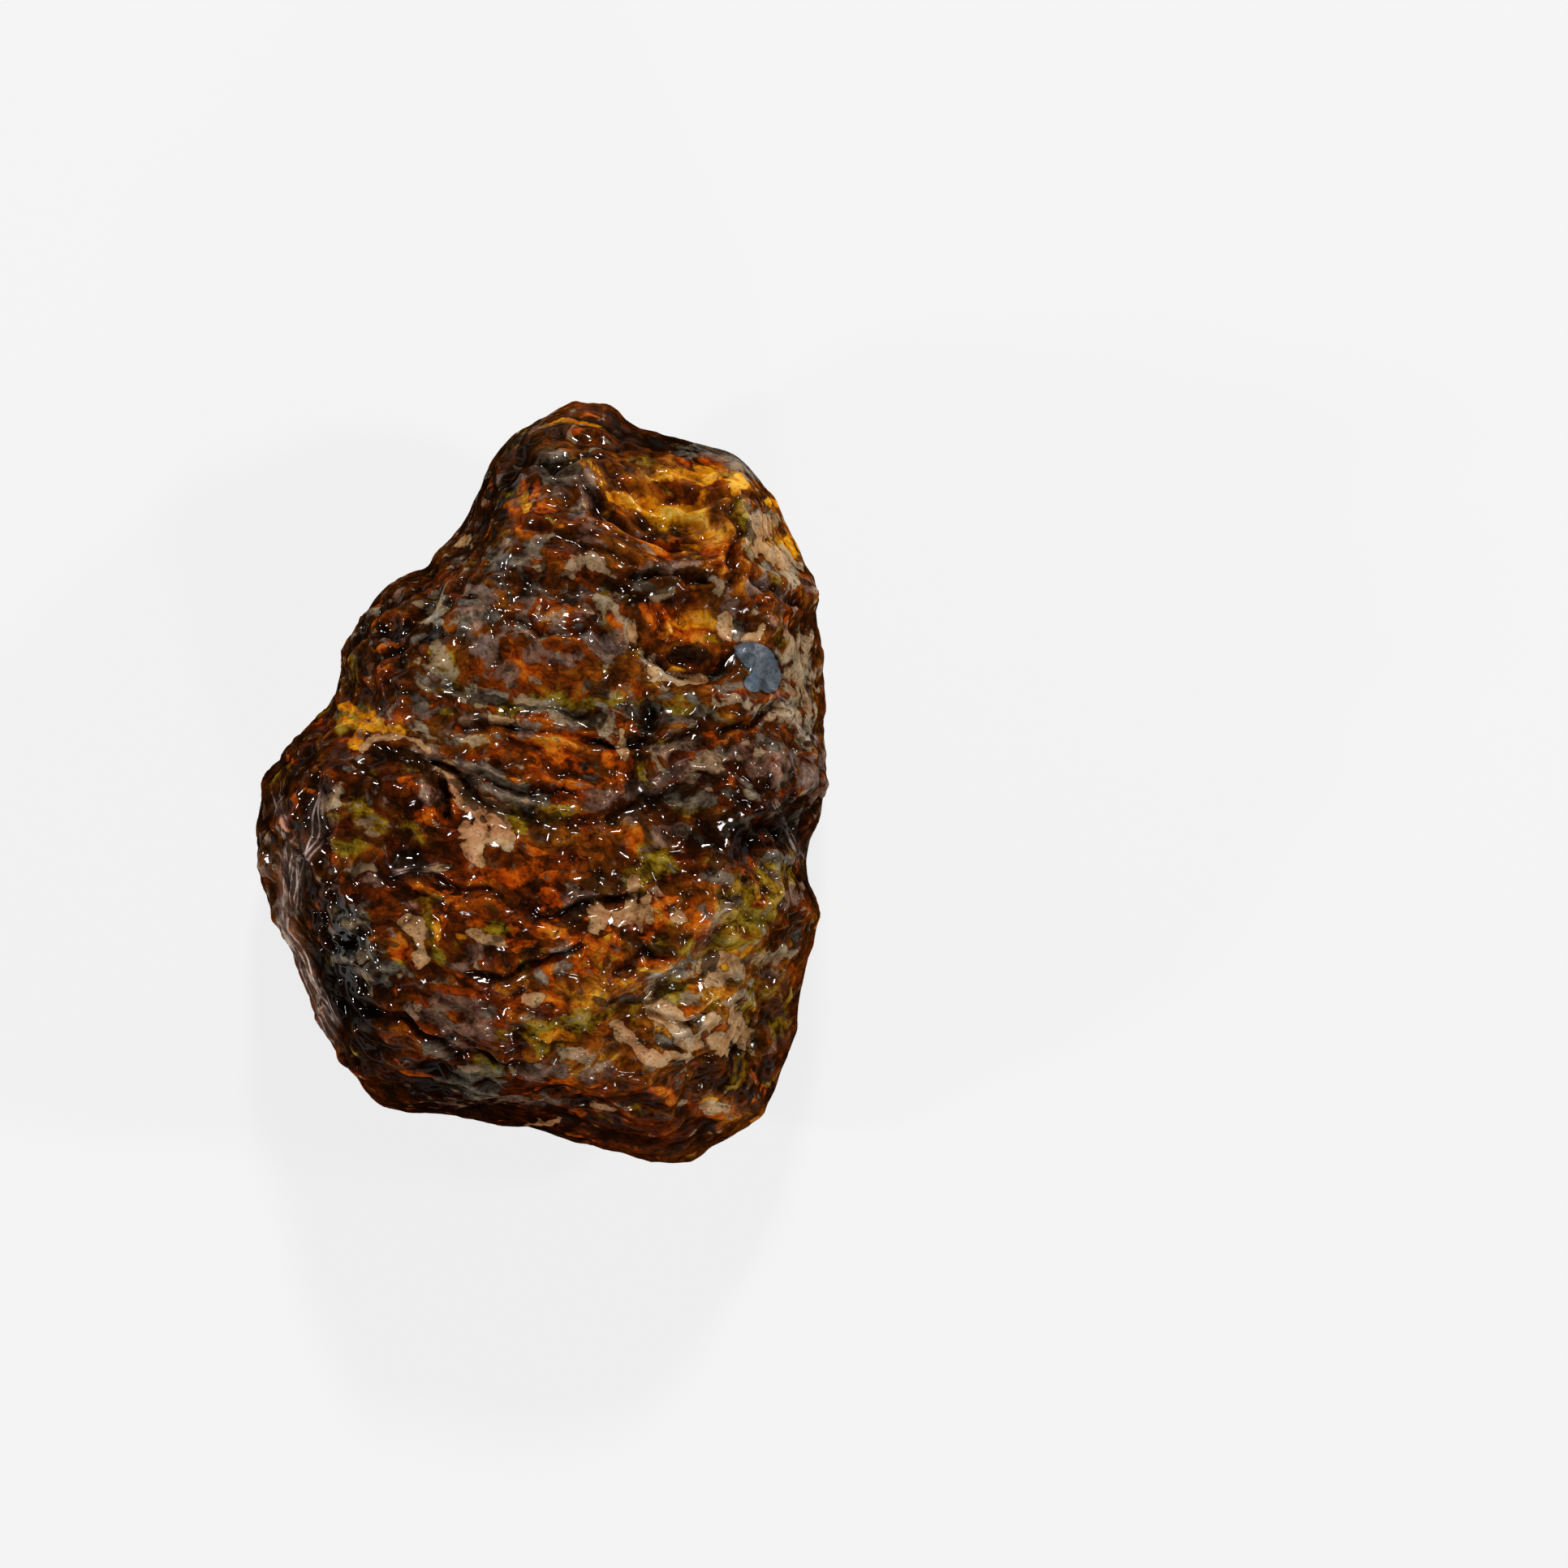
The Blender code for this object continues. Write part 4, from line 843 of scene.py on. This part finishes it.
def averaged(values, edges, rounds):
    """Values at the corners, each replaced by the average of its neighbours, several times over."""
    here, there = np.concatenate([edges, edges[:, ::-1]]).T
    neighbours = np.bincount(here, minlength=len(values))
    for _ in range(rounds):
        sums = [np.bincount(here, column[there], len(values)) for column in values.T]
        values = np.stack(sums, axis=1) / neighbours[:, None]
    return values


def skin_layers(mesh, points, normals):
    """How far each corner stands out, where the wet film lies, and how far the broad form faces up."""
    edges = np.empty(2 * len(mesh.edges), np.int32)
    mesh.edges.foreach_get("vertices", edges)
    edges = edges.reshape(-1, 2)
    smoothed = points
    for name, rounds in CREST_ROUNDS.items():
        smoothed = averaged(smoothed, edges, rounds)
        set_layer(mesh, name, np.sum((points - smoothed) * normals, axis=1))
    facing = averaged(normals, edges, FACING_ROUNDS)[:, 2]
    set_layer(mesh, "facing", smooth(*FACING_UP, facing))
    wetter = mounds(points[:, :2], WETTER.values())
    past, gain = WET_STEEP
    steep = gain * np.clip(wetter - past, 0, 0.5)
    set_layer(mesh, "wet", np.clip(1 - DRYNESS + wetter, 0, 1) * smooth(*WET_SLOPE, normals[:, 2] + steep))


def broken_noise(points, wavelength, seed):
    """Two layers of noise, the second at half the wavelength and height, from about -1 to 1."""
    first = gradient_noise(points / wavelength, seed)
    second = gradient_noise(points * 2 / wavelength, seed + 1)
    return 1.6 * first + 0.8 * second


def finish_depth(spot, finish):
    """How surely a finish shows: most amid its patches and ribbons, some in its zones, 0 at an edge."""
    depth = SCATTER + mounds(spot, finish["zones"])
    for patch in finish["patches"]:
        along, across = turned(spot, *patch)
        depth = np.maximum(depth, PATCH_HEART * (1 - along**2 - across**2))
    for half_width, *line in finish["ribbons"]:
        away = seam_distance(spot, line)[0] / half_width
        depth = np.maximum(depth, PATCH_HEART * (1 - away**2))
    return depth


def swirled(points, turn, stretch):
    """The corners' places drawn out along the folds, then moved about by noise, again and again."""
    along, across = turned(points[:, :2], 0, 0, stretch, 1, np.degrees(turn))
    place = np.column_stack([along, across, points[:, 2]])
    for seed, (wavelength, reach) in enumerate(SWIRLS):
        place = place + reach * drifts(place, wavelength, 70 + 3 * seed, 3)
    return place


def sheen_thread_layers(mesh, spot, height):
    """How far each corner is from the nearest line of the pale threads and painted sheen, with its side as
    the sign, and how near.
    """
    nearest = np.full(len(spot), np.inf)
    signed, strength = np.zeros(len(spot)), np.zeros(len(spot))
    for line_strength, *line in SHEEN_THREADS:
        distance, side, along = seam_distance(spot, line)
        closer = distance < nearest
        signed = np.where(closer, side * distance, signed)
        strength = np.where(closer, line_strength * faded_ends(along, LINE_ENDS), strength)
        nearest = np.minimum(nearest, distance)
    near = strength * (1 - smooth(0.3 * THREAD_REACH, THREAD_REACH, nearest))
    set_layer(mesh, "thread side", signed)
    set_layer(mesh, "thread near", near * smooth(*THREAD_HEIGHTS, height))


def paint_layers(mesh, points, look):
    """Layers that say where each finish shows, and where the amber is lighter, redder or cooler."""
    drift = sum(reach * drifts(points, wavelength, 60 + 2 * seed, 2)
                for seed, (wavelength, reach) in enumerate(WANDER))
    flat = points[:, :2]
    upper = smooth(*PAINTED_HEIGHTS, points[:, 2])
    swirl = swirled(points, look.swirl_turn, look.swirl_stretch)
    set_layer(mesh, "swirl", swirl)
    honey = mounds(flat + drift, HONEY.values())
    for half_width, share, *line in HONEY_BANDS:
        honey += share * np.exp(-((seam_distance(flat + drift, line)[0] / half_width) ** 2))
    reds, cools = (mounds(flat + drift, places.values()) for places in (RED, COOL))
    for (name, (wavelength, height, seed)), placed in zip(MARBLING.items(), (honey, reds, cools)):
        set_layer(mesh, name, placed * upper + height * broken_noise(swirl, wavelength, seed))
    for seed, (name, finish) in enumerate(FINISHES.items()):
        broken = finish["broken"]
        depth = finish_depth(flat + drift * broken, finish) * upper + SCATTER * (1 - upper)
        set_layer(mesh, name, depth + broken * broken_noise(swirl, finish["edge"], 90 + 2 * seed))
    sheen_thread_layers(mesh, flat + THREAD_DRIFT * drift, points[:, 2])


# ---- Shader sums as Python expressions ----


class Value:
    """A number socket of a shader. Python's arithmetic on it adds Math nodes."""

    def __init__(self, shader, socket):
        self.shader, self.socket = shader, socket

    def math(self, operation, *values):
        socket = self.shader.node("Math", {"operation": operation}, dict(enumerate(values)))
        return Value(self.shader, socket)

    def __add__(self, other):
        return self.math("ADD", self, other)

    def __radd__(self, other):
        return self.math("ADD", other, self)

    def __sub__(self, other):
        return self.math("SUBTRACT", self, other)

    def __rsub__(self, other):
        return self.math("SUBTRACT", other, self)

    def __mul__(self, other):
        return self.math("MULTIPLY", self, other)

    def __rmul__(self, other):
        return self.math("MULTIPLY", other, self)

    def __abs__(self):
        return self.math("ABSOLUTE", self)

    def least(self, other):
        return self.math("MINIMUM", self, other)

    def most(self, other):
        return self.math("MAXIMUM", self, other)

    def step(self, low, high):
        """0 below low, 1 above high, and an S-curve between."""
        values = {"Value": self, "From Min": low, "From Max": high}
        return Value(self.shader, self.shader.node("MapRange", {"interpolation_type": "SMOOTHSTEP"}, values))


class Shader:
    """A material's nodes, each added by one method."""

    def __init__(self, name):
        self.material = bpy.data.materials.new(name)
        self.material.use_nodes = True
        self.tree = self.material.node_tree
        self.surface = self.tree.nodes["Principled BSDF"]

    def put(self, node, values):
        """Sets a node's sockets, by name or number, to numbers or colours, or links them to others."""
        for key, value in values.items():
            source = value.socket if isinstance(value, Value) else value
            if isinstance(source, bpy.types.NodeSocket):
                self.tree.links.new(source, node.inputs[key])
            else:
                node.inputs[key].default_value = source

    def node(self, kind, settings, values, output=0):
        """Adds a node: its type, its settings, then its sockets. Gives the output that is asked for."""
        made = self.tree.nodes.new("ShaderNode" + kind)
        for name, setting in settings.items():
            if name == "stops":
                self.set_stops(made.color_ramp.elements, setting)
            else:
                setattr(made, name, setting)
        self.put(made, values)
        return made.outputs[output]

    def set_stops(self, elements, stops):
        """Gives a ramp its stops: places out of 100, and colours in thousandths."""
        for _ in stops[2:]:
            elements.new(1.0)
        for element, (place, *colour) in zip(elements, stops):
            element.position = place / 100
            element.color = (*(part / 1000 for part in colour), 1)

    def layer(self, name):
        """A number that the mesh carries."""
        return Value(self, self.node("Attribute", {"attribute_name": name}, {}, "Fac"))

    def moved(self, place, x, y, z):
        """A place, shifted."""
        return self.node("VectorMath", {"operation": "ADD"}, {0: place, 1: (x, y, z)})

    def noise(self, place, wavelength, detail, shift):
        """Smooth noise from about -1 to 1, with a feature size in millimetres."""
        values = {"Vector": self.moved(place, shift, shift * 0.7, -shift),
                  "Scale": 1 / wavelength, "Detail": detail, "Roughness": 0.55}
        return (Value(self, self.node("TexNoise", {}, values, "Fac")) - 0.5) * 2.6

    def flakes(self, place, size, shift):
        """A number from -1 to 1 for each of many small flakes with crisp edges."""
        values = {"Vector": self.moved(place, shift, -shift, shift * 0.7), "Scale": 1 / size}
        colour = self.node("TexVoronoi", {}, values, "Color")
        return Value(self, self.node("SeparateColor", {}, {"Color": colour}, "Red")) * 2 - 1

    def ramp(self, value, stops):
        """Colours by a number from 0 to 1."""
        return self.node("ValToRGB", {"stops": stops}, {"Fac": value}, "Color")

    def mix(self, share, first, second):
        """A colour between two, in the Mix node's sockets for colours."""
        return self.node("Mix", {"data_type": "RGBA"}, {0: share, 6: first, 7: second}, 2)

    def shade(self, colour, share):
        """A colour made darker by a share from 0 to 1."""
        return self.mix(share, BLACK, colour)


BLACK, WHITE = (0, 0, 0, 1), (1, 1, 1, 1)

# Noise in the material: size of a feature in millimetres, detail, and a shift that makes each its own.
MIDDLE, SMALL, TINY = (0.72, 1, 3), (0.34, 1, 7), (0.15, 0, 11)
VEINS, STRANDS, APART = (0.60, 1, 101), (0.75, 1, 111), (2.0, 0, 29)
RIPPLES = ((0.36, 0, 17), (0.2, 0, 19))
FLAKES = (0.45, 5)     # without detail

# A line runs where noise or a distance is 0: where it is full, and where it ends.
VEIN_WIDTH, STRAND_WIDTH, THREAD_WIDTH = (0.02, 0.10), (0.01, 0.06), (0.005, 0.06)
PITS = (0.30, 0.45)          # a pit starts, and is full, at these values of the finest noise
DARK_LINE = (-0.24, -0.04)   # the dark line round a finish, where its edge is at 0


def amber_material(look):
    """Marbled amber, from dark to light and from golden to red, with the other finishes laid over it,
    painted shade from the relief and the sides, and painted sheen along the rims.

    Noise is from about -1 to 1, and a ramp is read from 0 to 1. The plain numbers in the sums are weights:
    how far a noise or a layer moves the place on a ramp, or the darkness.
    """
    shader = Shader("raw amber")
    point = shader.node("TexCoord", {}, {}, "Object")
    place = shader.node("VectorMath", {"operation": "SCALE"}, {"Vector": point, "Scale": 1 / METRES})
    swirl = shader.node("Attribute", {"attribute_name": "swirl"}, {}, "Vector")
    middle = shader.noise(swirl, *MIDDLE)
    small, tiny = shader.noise(place, *SMALL), shader.noise(place, *TINY)
    flakes = shader.flakes(swirl, *FLAKES)
    crest, swell, facing, honey = (shader.layer(name) for name in ("crest", "swell", "facing", "honey"))
    # Painted shade and light from the relief: crests are painted lighter and creases and hollows darker, in
    # the amber's level here and in the finishes' tone below.
    relief = crest * 3.5 + swell * 0.9

    veins = 1 - abs(shader.noise(swirl, *VEINS)).step(*VEIN_WIDTH)
    strands = 1 - abs(shader.noise(swirl, *STRANDS)).step(*STRAND_WIDTH)
    lines = strands * look.strands - veins * look.veins
    level = look.honey + honey + middle * 0.15 + small * 0.16 + tiny * 0.06
    level = level + lines + flakes * look.flakes + relief * look.painted_relief_shading
    # Painted shade: the sides that face up less are made darker.
    level = level - (1 - facing) * look.rim_shade
    redness = (look.redness + shader.layer("red")).step(0, 1)
    colour = shader.mix(redness, shader.ramp(level, AMBER), shader.ramp(level, RED_AMBER))

    # relief * 0.4 is painted shade and light in the finishes' tone.
    tone = 0.50 + middle * 0.17 + small * 0.23 + tiny * 0.12 + relief * 0.4 + lines
    tone = tone + flakes * look.flakes + honey * look.honey_in_crust
    broken = small * 0.20 + flakes * 0.22 + tiny * 0.08
    for name, finish in FINISHES.items():
        surely = shader.layer(name) + broken * finish["broken"]
        if finish["line"]:
            colour = shader.shade(colour, 1 - surely.step(*DARK_LINE) * finish["line"])
        there = surely.step(-finish["soft"], finish["soft"]) * finish["cover"]
        colour = shader.mix(there, colour, shader.ramp(tone + surely * look.heart_glow, finish["colours"]))

    # Webs of pale threads, partly painted sheen along the rims and crests, laid over the colour below.
    side = shader.layer("thread side")
    apart = shader.noise(place, *APART)
    first = abs(side + apart * 0.26)
    second = abs(side - apart * 0.22 + middle * 0.03)
    third = abs(side + apart * 0.40 - 0.18 + middle * 0.02)
    sheen_web = 1 - first.least(second).least(third).step(*THREAD_WIDTH)
    sheen_web = (sheen_web * (0.5 + middle * 1.7).most(0.05) + 0.05) * shader.layer("thread near")
    pits = (tiny * 0.7 + small * 0.3).step(*PITS)
    colour = shader.shade(colour, 1 - pits * look.pits)
    tint = shader.ramp(shader.layer("cool") + 0.5, TINTS)
    colour = shader.node("VectorMath", {"operation": "MULTIPLY"}, {0: colour, 1: tint})
    colour = shader.mix(sheen_web * look.sheen_web, colour, shader.ramp(tone, SHEEN_THREAD_COLOURS))
    # Painted shade: hollows of the broad form are darkened, down to 40 % of their colour at the deepest, and
    # less where honey shows, as if light got into the clearer amber.
    colour = shader.shade(colour, (swell * 0.8 + honey * 1.2 + 1.0).least(1.0).most(0.40))

    wet = shader.layer("wet")
    broad, fine = (shader.noise(place, *ripple) for ripple in RIPPLES)
    ripple = broad * 0.7 + fine * 0.3
    bump = {"Height": ripple * (0.55 + wet * wet * 1.7), "Strength": 1.0, "Distance": look.grain_depth}
    shader.put(shader.surface, {
        "Base Color": colour, "Coat Weight": wet * facing * look.gloss,
        "Normal": shader.node("Bump", {}, bump, "Normal"),
        "Roughness": 0.6, "Specular IOR Level": 0.0,
        "Coat Roughness": look.roughness, "Coat IOR": look.ior,
    })
    return shader.material


def linked(name, data):
    """A new object in the scene."""
    obj = bpy.data.objects.new(name, data)
    bpy.context.scene.collection.objects.link(obj)
    return obj


def amber_lump(shape, look):
    """The lump: the surface on a cube's grids, thinned, painted with its layers, and given its finish."""
    corners, quads = cube_grids(shape.grid_steps)
    way = np.tan((corners / shape.grid_steps * 2 - 1) * np.pi / 4)
    way /= np.linalg.norm(way, axis=1)[:, None]
    lump = linked("amber_lump", grid_mesh("amber lump", lump_surface(way) * METRES, quads))
    bpy.context.view_layer.update()
    thin(lump, shape.triangles)
    mesh = lump.data
    points = corner_vectors(mesh.vertices, "co") / METRES
    skin_layers(mesh, points, corner_vectors(mesh.vertices, "normal"))
    paint_layers(mesh, points, look)
    mesh.materials.append(amber_material(look))
    mesh.shade_smooth()
    return lump


# ---- The stage ----

FRAME_WIDTH = 62.3       # how much of the rim's plane the picture takes in
FRAME_CENTRE = (9.66, -0.03)
RIM_HEIGHT = 4.5
SENSOR = 36.0            # width of the camera's sensor

# Lamps: the way to it from the lump, its distance, its width and its strength in watts.
LAMPS = {
    "key": ((0.05, 0.78, 0.62), 420, 44, 1.00),
    "left window": ((-0.90, -0.18, 0.44), 400, 36, 0.62),
    "right window": ((0.82, 0.10, 0.52), 420, 50, 0.66),
    "low fill": ((0.25, -0.85, 0.50), 420, 50, 0.36),
}


def lamp(name, way, distance, width, watts):
    """A square area lamp that faces the lump."""
    data = bpy.data.lights.new(name, "AREA")
    data.size = width * METRES
    data.energy = watts
    obj = linked(name, data)
    towards = Vector(way).normalized()
    obj.location = towards * distance * METRES
    obj.rotation_euler = towards.to_track_quat("Z", "Y").to_euler()


def floor(stage):
    """A wide plain floor that glows like a light table."""
    half = stage.floor_size / 2
    mesh = bpy.data.meshes.new("floor")
    corners = [(-half, -half, 0), (half, -half, 0), (half, half, 0), (-half, half, 0)]
    mesh.from_pydata(corners, [], [(0, 1, 2, 3)])
    shader = Shader("pale floor")
    shader.put(shader.surface, {
        "Base Color": (*stage.floor_colour, 1), "Roughness": 0.9, "Specular IOR Level": 0.0,
        "Emission Color": WHITE, "Emission Strength": stage.floor_glow,
    })
    shader.material.cycles.emission_sampling = "NONE"
    mesh.materials.append(shader.material)
    obj = linked("floor", mesh)


def studio_world(stage):
    """Weak even light from all round."""
    world = bpy.data.worlds.new("studio")
    world.use_nodes = True
    background = world.node_tree.nodes["Background"]
    background.inputs["Color"].default_value = WHITE
    background.inputs["Strength"].default_value = stage.ambient
    bpy.context.scene.world = world


def camera(stage):
    """Looks straight down, with +Y up in the picture."""
    data = bpy.data.cameras.new("camera")
    data.sensor_width = SENSOR
    data.lens = SENSOR * (stage.camera_height / METRES - RIM_HEIGHT) / FRAME_WIDTH
    data.clip_start = 0.01
    obj = linked("camera", data)
    obj.location = (FRAME_CENTRE[0] * METRES, FRAME_CENTRE[1] * METRES, stage.camera_height)
    bpy.context.scene.camera = obj


# ---- The add-on ----


class AmberShape(bpy.types.PropertyGroup):
    """How finely the lump is made."""

    grid_steps: IntProperty(
        name="Grid steps", description="Squares along each edge of the cube", default=144, min=16)
    triangles: IntProperty(
        name="Triangles", description="Triangles left after thinning", default=196000, min=1000)


class AmberLook(bpy.types.PropertyGroup):
    """The crust's colours and gloss."""

    honey: FloatProperty(name="Honey", description="How light the amber is on the whole", default=0.42)
    redness: FloatProperty(name="Redness", description="How red the amber is on the whole", default=0.35)
    swirl_turn: FloatProperty(
        name="Swirl turn", description="The way the marbling runs", default=-0.31, subtype="ANGLE")
    swirl_stretch: FloatProperty(
        name="Swirl stretch", description="How drawn out the marbling is", default=1.45, min=1)
    gloss: FloatProperty(
        name="Gloss", description="Strength of the wet film", default=0.85, subtype="FACTOR", min=0, max=1)
    roughness: FloatProperty(
        name="Roughness", description="Roughness of the film", default=0.09, subtype="FACTOR", min=0, max=1)
    ior: FloatProperty(name="IOR", description="Refractive index of amber", default=1.54)
    grain_depth: FloatProperty(
        name="Grain depth", description="Depth of the finest grain", default=0.00003, unit="LENGTH")
    # Painted shade from the relief: how much lighter crests, and how much darker creases, are painted.
    painted_relief_shading: FloatProperty(
        name="Crest tint", description="How much lighter crests are than creases", default=0.28)
    honey_in_crust: FloatProperty(
        name="Honey in crust", description="How much the crust follows the honey's lightness", default=0.4)
    veins: FloatProperty(name="Veins", description="How dark the fine veins are", default=0.12)
    strands: FloatProperty(name="Strands", description="How light the fine strands are", default=0.07)
    # The webs are pale threads, partly painted sheen.
    sheen_web: FloatProperty(name="Web", description="How strongly the webs of threads show", default=1.0)
    pits: FloatProperty(name="Pits", description="How dark the finest pits are", default=0.5)
    heart_glow: FloatProperty(
        name="Heart glow", description="How much lighter a patch is in its heart", default=0.2)
    flakes: FloatProperty(name="Flakes", description="How much small flakes differ in tone", default=0.10)
    # Painted shade on the sides that face up less.
    rim_shade: FloatProperty(
        name="Rim shade", description="How much darker the amber is on the sides", default=0.12)


class AmberStage(bpy.types.PropertyGroup):
    """Floor, lamps and camera."""

    floor_colour: FloatVectorProperty(
        name="Floor colour", description="Colour of the floor", subtype="COLOR", default=(0.14, 0.14, 0.14))
    floor_size: FloatProperty(
        name="Floor size", description="Width of the floor", default=1.6, unit="LENGTH")
    floor_glow: FloatProperty(
        name="Floor glow", description="How much the floor shines like a light table", default=0.79)
    ambient: FloatProperty(
        name="Ambient", description="Strength of the even light from all round", default=0.015)
    brightness: FloatProperty(name="Brightness", description="Scales all the lamps", default=1.0)
    camera_height: FloatProperty(
        name="Camera height", description="Height of the camera over the floor", default=0.31, unit="LENGTH")


class AMBER_OT_lump(bpy.types.Operator):
    """Make the lump of amber, in place of its plain solid"""

    bl_idname = "amber.lump"
    bl_label = "Amber Lump"

    def execute(self, context):
        lump = amber_lump(context.scene.amber_shape, context.scene.amber_look)
        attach(lump, "root")
        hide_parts(NODE)
        return {"FINISHED"}


class AMBER_OT_stage(bpy.types.Operator):
    """Make the floor, the lamps and the camera"""

    bl_idname = "amber.stage"
    bl_label = "Stage"

    def execute(self, context):
        stage = context.scene.amber_stage
        floor(stage)
        studio_world(stage)
        for name, (way, distance, width, watts) in LAMPS.items():
            lamp(name, way, distance, width, watts * stage.brightness)
        camera(stage)
        context.scene.view_settings.view_transform = "Standard"
        return {"FINISHED"}


class AMBER_PT_panel(bpy.types.Panel):
    """Sizes, colours and the buttons that make each part"""

    bl_label = "Amber"
    bl_idname = "AMBER_PT_panel"
    bl_space_type = "VIEW_3D"
    bl_region_type = "UI"
    bl_category = "Amber"

    def draw(self, context):
        for group in GROUPS:
            settings = getattr(context.scene, group)
            for name in settings.__annotations__:
                self.layout.prop(settings, name)
        self.layout.operator("amber.lump")
        self.layout.operator("amber.stage")


GROUPS = {"amber_shape": AmberShape, "amber_look": AmberLook, "amber_stage": AmberStage}
CLASSES = (*GROUPS.values(), AMBER_OT_lump, AMBER_OT_stage, AMBER_PT_panel)


def register():
    for item in CLASSES:
        bpy.utils.register_class(item)
    for name, group in GROUPS.items():
        setattr(bpy.types.Scene, name, PointerProperty(type=group))


def unregister():
    for name in GROUPS:
        delattr(bpy.types.Scene, name)
    for item in reversed(CLASSES):
        bpy.utils.unregister_class(item)


def main():
    register()
    bpy.ops.amber.lump()
    bpy.ops.amber.stage()


if __name__ == "__main__":
    main()
